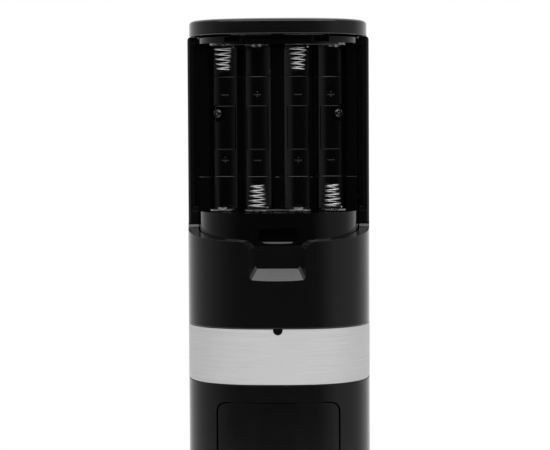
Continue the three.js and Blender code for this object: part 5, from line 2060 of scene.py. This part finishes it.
    def screw_seat(self, x: float) -> Form:
        """The cutter of a screw's hole and its counterbore.

        Args:
            x: its distance from the middle.

        Returns:
            The cutter.
        """
        at, (front, seat) = (x, self.screw_z), self.counterbore_y
        shank = Form.drill(self.screw_hole, at, (front, 0), Direction.ALONG_Y, 32)
        return shank.add(Form.drill(self.counterbore, at, (front, seat), Direction.ALONG_Y))

    def screw(self, x: float) -> Form:
        """One of the frame's cross-head screws.

        Args:
            x: its distance from the middle.

        Returns:
            The screw.
        """
        seat, z = self.screw_seat_y, self.screw_z
        radius, tip = self.screw_shank
        profile = [(radius, tip), (radius, seat)] + [(r, seat - rise) for r, rise in self.screw_head]
        body = Form.stack([(circle(r, 48, x, z), y) for r, y in profile], Direction.ALONG_Y)
        arms = []
        for half_x, half_z in (self.cross_arm, self.cross_arm[::-1]):
            sections = []
            for share, corner, rise in self.cross:
                wide, tall = half_x * share, half_z * share
                outline = rounded_box((x - wide, x + wide), (z - tall, z + tall), corner, 2)
                sections.append((outline, seat - rise))
            arms.append(Form.stack(sections, Direction.ALONG_Y))
        return body.cut(*arms)

    def contact_spring(self, bay: Bay, node: str) -> Form:
        """A conical contact spring with a flat base turn.

        Args:
            bay: the bay it stands in.
            node: its CAD node.

        Returns:
            The coiled wire.
        """
        low, high = extent(node)
        wire = self.spring_wire
        base, tip = low.z + wire, low.z + self.spring_length - wire
        if bay.spring_up:
            base, tip = high.z - wire, high.z - self.spring_length + wire
        path = coil(self.spring_radii, (base, tip), *self.spring_turns)
        return Form.rod([point + Vector((bay.x, bay.y, 0)) for point in path], wire)


@dataclass
class DriveUnit:
    """The motor, its plate, the planetary gearbox and the wiring."""

    cup_screws: int = 4
    planets: int = 3

    def build(self, bench: Bench) -> None:
        """Dresses every piece of the drive.

        Args:
            bench: gives each piece its finish.
        """
        bench.dress(Slot.MATTE_BLACK, "gearbox_cup")
        bench.dress(Slot.MOTOR_ZINC, "motor_plate", "motor_can")
        bench.dress(Slot.DARK_STEEL, "motor_shaft")
        bench.dress(Slot.BRONZE, "output_bush", "motor_pinion")
        bench.dress(Slot.ACETAL_CREAM, "ring_gear", "carrier_1", "carrier_2_socket")
        numbers = range(1, self.planets + 1)
        bench.dress(Slot.NYLON_WHITE, *[f"planet_gear_{stage}_{n}" for stage in (1, 2) for n in numbers])
        screws = [f"gearbox_screw_{n}" for n in range(1, self.cup_screws + 1)]
        bench.dress(Slot.NICKEL_PLATE, "motor_screw_1", "motor_screw_2", *screws)
        bench.dress(Slot.WIRE_RED, "wire_battery_to_switch", "wire_switch_to_motor")
        bench.dress(Slot.WIRE_BLACK, "wire_battery_to_motor")


# ---------------------------------------------------------------- studio


@dataclass
class Softbox:
    """A square lamp with a soft edge, aimed at a point of the mill."""

    name: str
    place: Corner
    aim: Corner
    size: Point
    power: float

    def build(self) -> None:
        """Adds the lamp."""
        light = bpy.data.lights.new(self.name, "AREA")
        light.shape = "RECTANGLE"
        light.size, light.size_y = self.size
        light.energy = self.power
        lamp = linked(self.name, light)
        lamp.location = self.place
        way = Vector(self.aim) - Vector(self.place)
        lamp.rotation_euler = way.to_track_quat("-Z", "Y").to_euler()


@dataclass
class Studio:
    """A pale floor, soft lamps and the camera. Metres."""

    distance: float = 0.58
    height: float = 0.173
    bearing: float = 1.03
    lens: float = 124.494545
    sensor: float = 36.0
    clip: Point = (0.05, 50.0)
    pitch: float = 2.910481
    aim: float = 0.118989
    roll: float = -0.3
    floor_radius: float = 0.36
    floor_fade: Point = (0.36, 0.95)
    floor_shade: tuple[float, ...] = (0.8, 0.8, 0.8, 1.0)
    room: tuple[Point, ...] = (  # degrees from the front, and brightness
        (-180, 1.0),
        (-150, 0.65),
        (-115, 0.44),
        (-96, 0.35),
        (-76, 0.25),
        (-60, 0.16),
        (-34, 0.03),
        (0, 0.016),
        (28, 0.03),
        (58, 0.34),
        (110, 0.38),
        (150, 0.65),
        (180, 1.0),
    )
    room_above: float = 1.2
    room_rise: Point = (0.25, 0.9)
    lamps: list[Softbox] = field(
        default_factory=lambda: [
            Softbox("front_top", (0, -1.1, 0.66), (0, 0, 0.13), (1.6, 0.4), 6.8),
            Softbox("key_right", (0.85, -0.75, 0.7), (0, 0, 0.11), (0.6, 0.6), 1.9),
            Softbox("key_left", (-0.85, -0.75, 0.7), (0, 0, 0.11), (0.6, 0.6), 1.7),
            Softbox("overhead", (0, 0.15, 1.2), (0, 0, 0.1), (1.0, 1.0), 6.0),
        ]
    )

    def build(self) -> None:
        """Builds the floor, the room, the lamps and the camera."""
        self.build_floor()
        self.build_room()
        for lamp in self.lamps:
            lamp.build()
        self.camera()

    def camera(self) -> None:
        """Adds the camera."""
        data = bpy.data.cameras.new("camera")
        data.sensor_width = self.sensor
        data.lens = self.lens
        data.clip_start, data.clip_end = self.clip
        camera = linked("camera", data)
        round_by = math.radians(self.bearing)
        away_x, away_y = self.distance * math.sin(round_by), self.distance * math.cos(round_by)
        camera.location = (away_x, -away_y, self.height)
        down, across = math.radians(self.pitch), math.radians(self.aim) + round_by
        turn = Matrix.Rotation(across, 4, "Z") @ Matrix.Rotation(math.pi / 2 - down, 4, "X")
        camera.rotation_euler = (turn @ Matrix.Rotation(math.radians(self.roll), 4, "Z")).to_euler()
        bpy.context.scene.camera = camera

    def build_floor(self) -> None:
        """Adds the round pale floor, which turns to plain white away from the mill."""
        mesh = bpy.data.meshes.new("floor")
        shape = bmesh.new()
        bmesh.ops.create_circle(shape, cap_ends=True, segments=96, radius=self.floor_radius)
        shape.to_mesh(mesh)
        shape.free()
        floor = linked("floor", mesh)
        material = bpy.data.materials.new("floor")
        material.use_nodes = True
        graph = Graph(material.node_tree)
        matt = {"Base Color": self.floor_shade, "Roughness": 0.9}
        mat = graph.node("ShaderNodeBsdfPrincipled", inputs=matt)
        white = graph.node("ShaderNodeEmission", inputs={"Color": (1, 1, 1, 1), "Strength": 1.0})
        radius = graph.node("ShaderNodeVectorMath", {"operation": "LENGTH"}, {0: graph.place()}, "Value")
        start, end = (share * self.floor_radius for share in self.floor_fade)
        fade = radius.above(start, end) * self.seen(graph)
        far = graph.node("ShaderNodeMixShader", inputs={0: fade, 1: mat, 2: white})
        graph.node("ShaderNodeOutputMaterial", inputs={"Surface": far})
        mesh.materials.append(material)

    @staticmethod
    def seen(graph: Graph) -> Signal:
        """1 for a ray from the camera or through glass."""
        camera = graph.node("ShaderNodeLightPath", output="Is Camera Ray")
        return camera.maximum(graph.node("ShaderNodeLightPath", output="Is Transmission Ray"))

    def build_room(self) -> None:
        """The room: white to the camera, and dim in front of the mill, bright behind it and above."""
        world = bpy.data.worlds.new("room")
        bpy.context.scene.world = world
        world.use_nodes = True
        graph = Graph(world.node_tree)
        way = graph.node("ShaderNodeTexCoord", output="Generated")
        x, y, z = [graph.node("ShaderNodeSeparateXYZ", inputs={0: way}, output=axis) for axis in range(3)]
        bearing = graph.node("ShaderNodeMath", {"operation": "ARCTAN2"}, {0: x, 1: 0.0 - y})
        stops = [(0.5 + degrees / 360, level) for degrees, level in self.room]
        share = 0.5 + bearing * (1 / FULL_TURN)
        level = graph.node("ShaderNodeValToRGB", {"stops": stops}, {0: share})
        level += z.above(*self.room_rise) * self.room_above
        dim = graph.node("ShaderNodeBackground", inputs={"Color": (1, 1, 1, 1), "Strength": level})
        white = graph.node("ShaderNodeBackground", inputs={"Color": (1, 1, 1, 1), "Strength": 1.0})
        mixed = graph.node("ShaderNodeMixShader", inputs={0: self.seen(graph), 1: dim, 2: white})
        graph.node("ShaderNodeOutputWorld", inputs={"Surface": mixed})


# ---------------------------------------------------------------- main


def main() -> None:
    """Builds the studio and the mill's sub-assemblies."""
    bpy.context.scene.view_settings.view_transform = "Standard"
    Studio().build()
    bench = Bench()
    for assembly in (Container(), Grinder(), HeadHousing(), CapAndButton(), BatteryFrame(), DriveUnit()):
        log.info("building %s", type(assembly).__name__)
        assembly.build(bench)


if __name__ == "__main__":
    main()
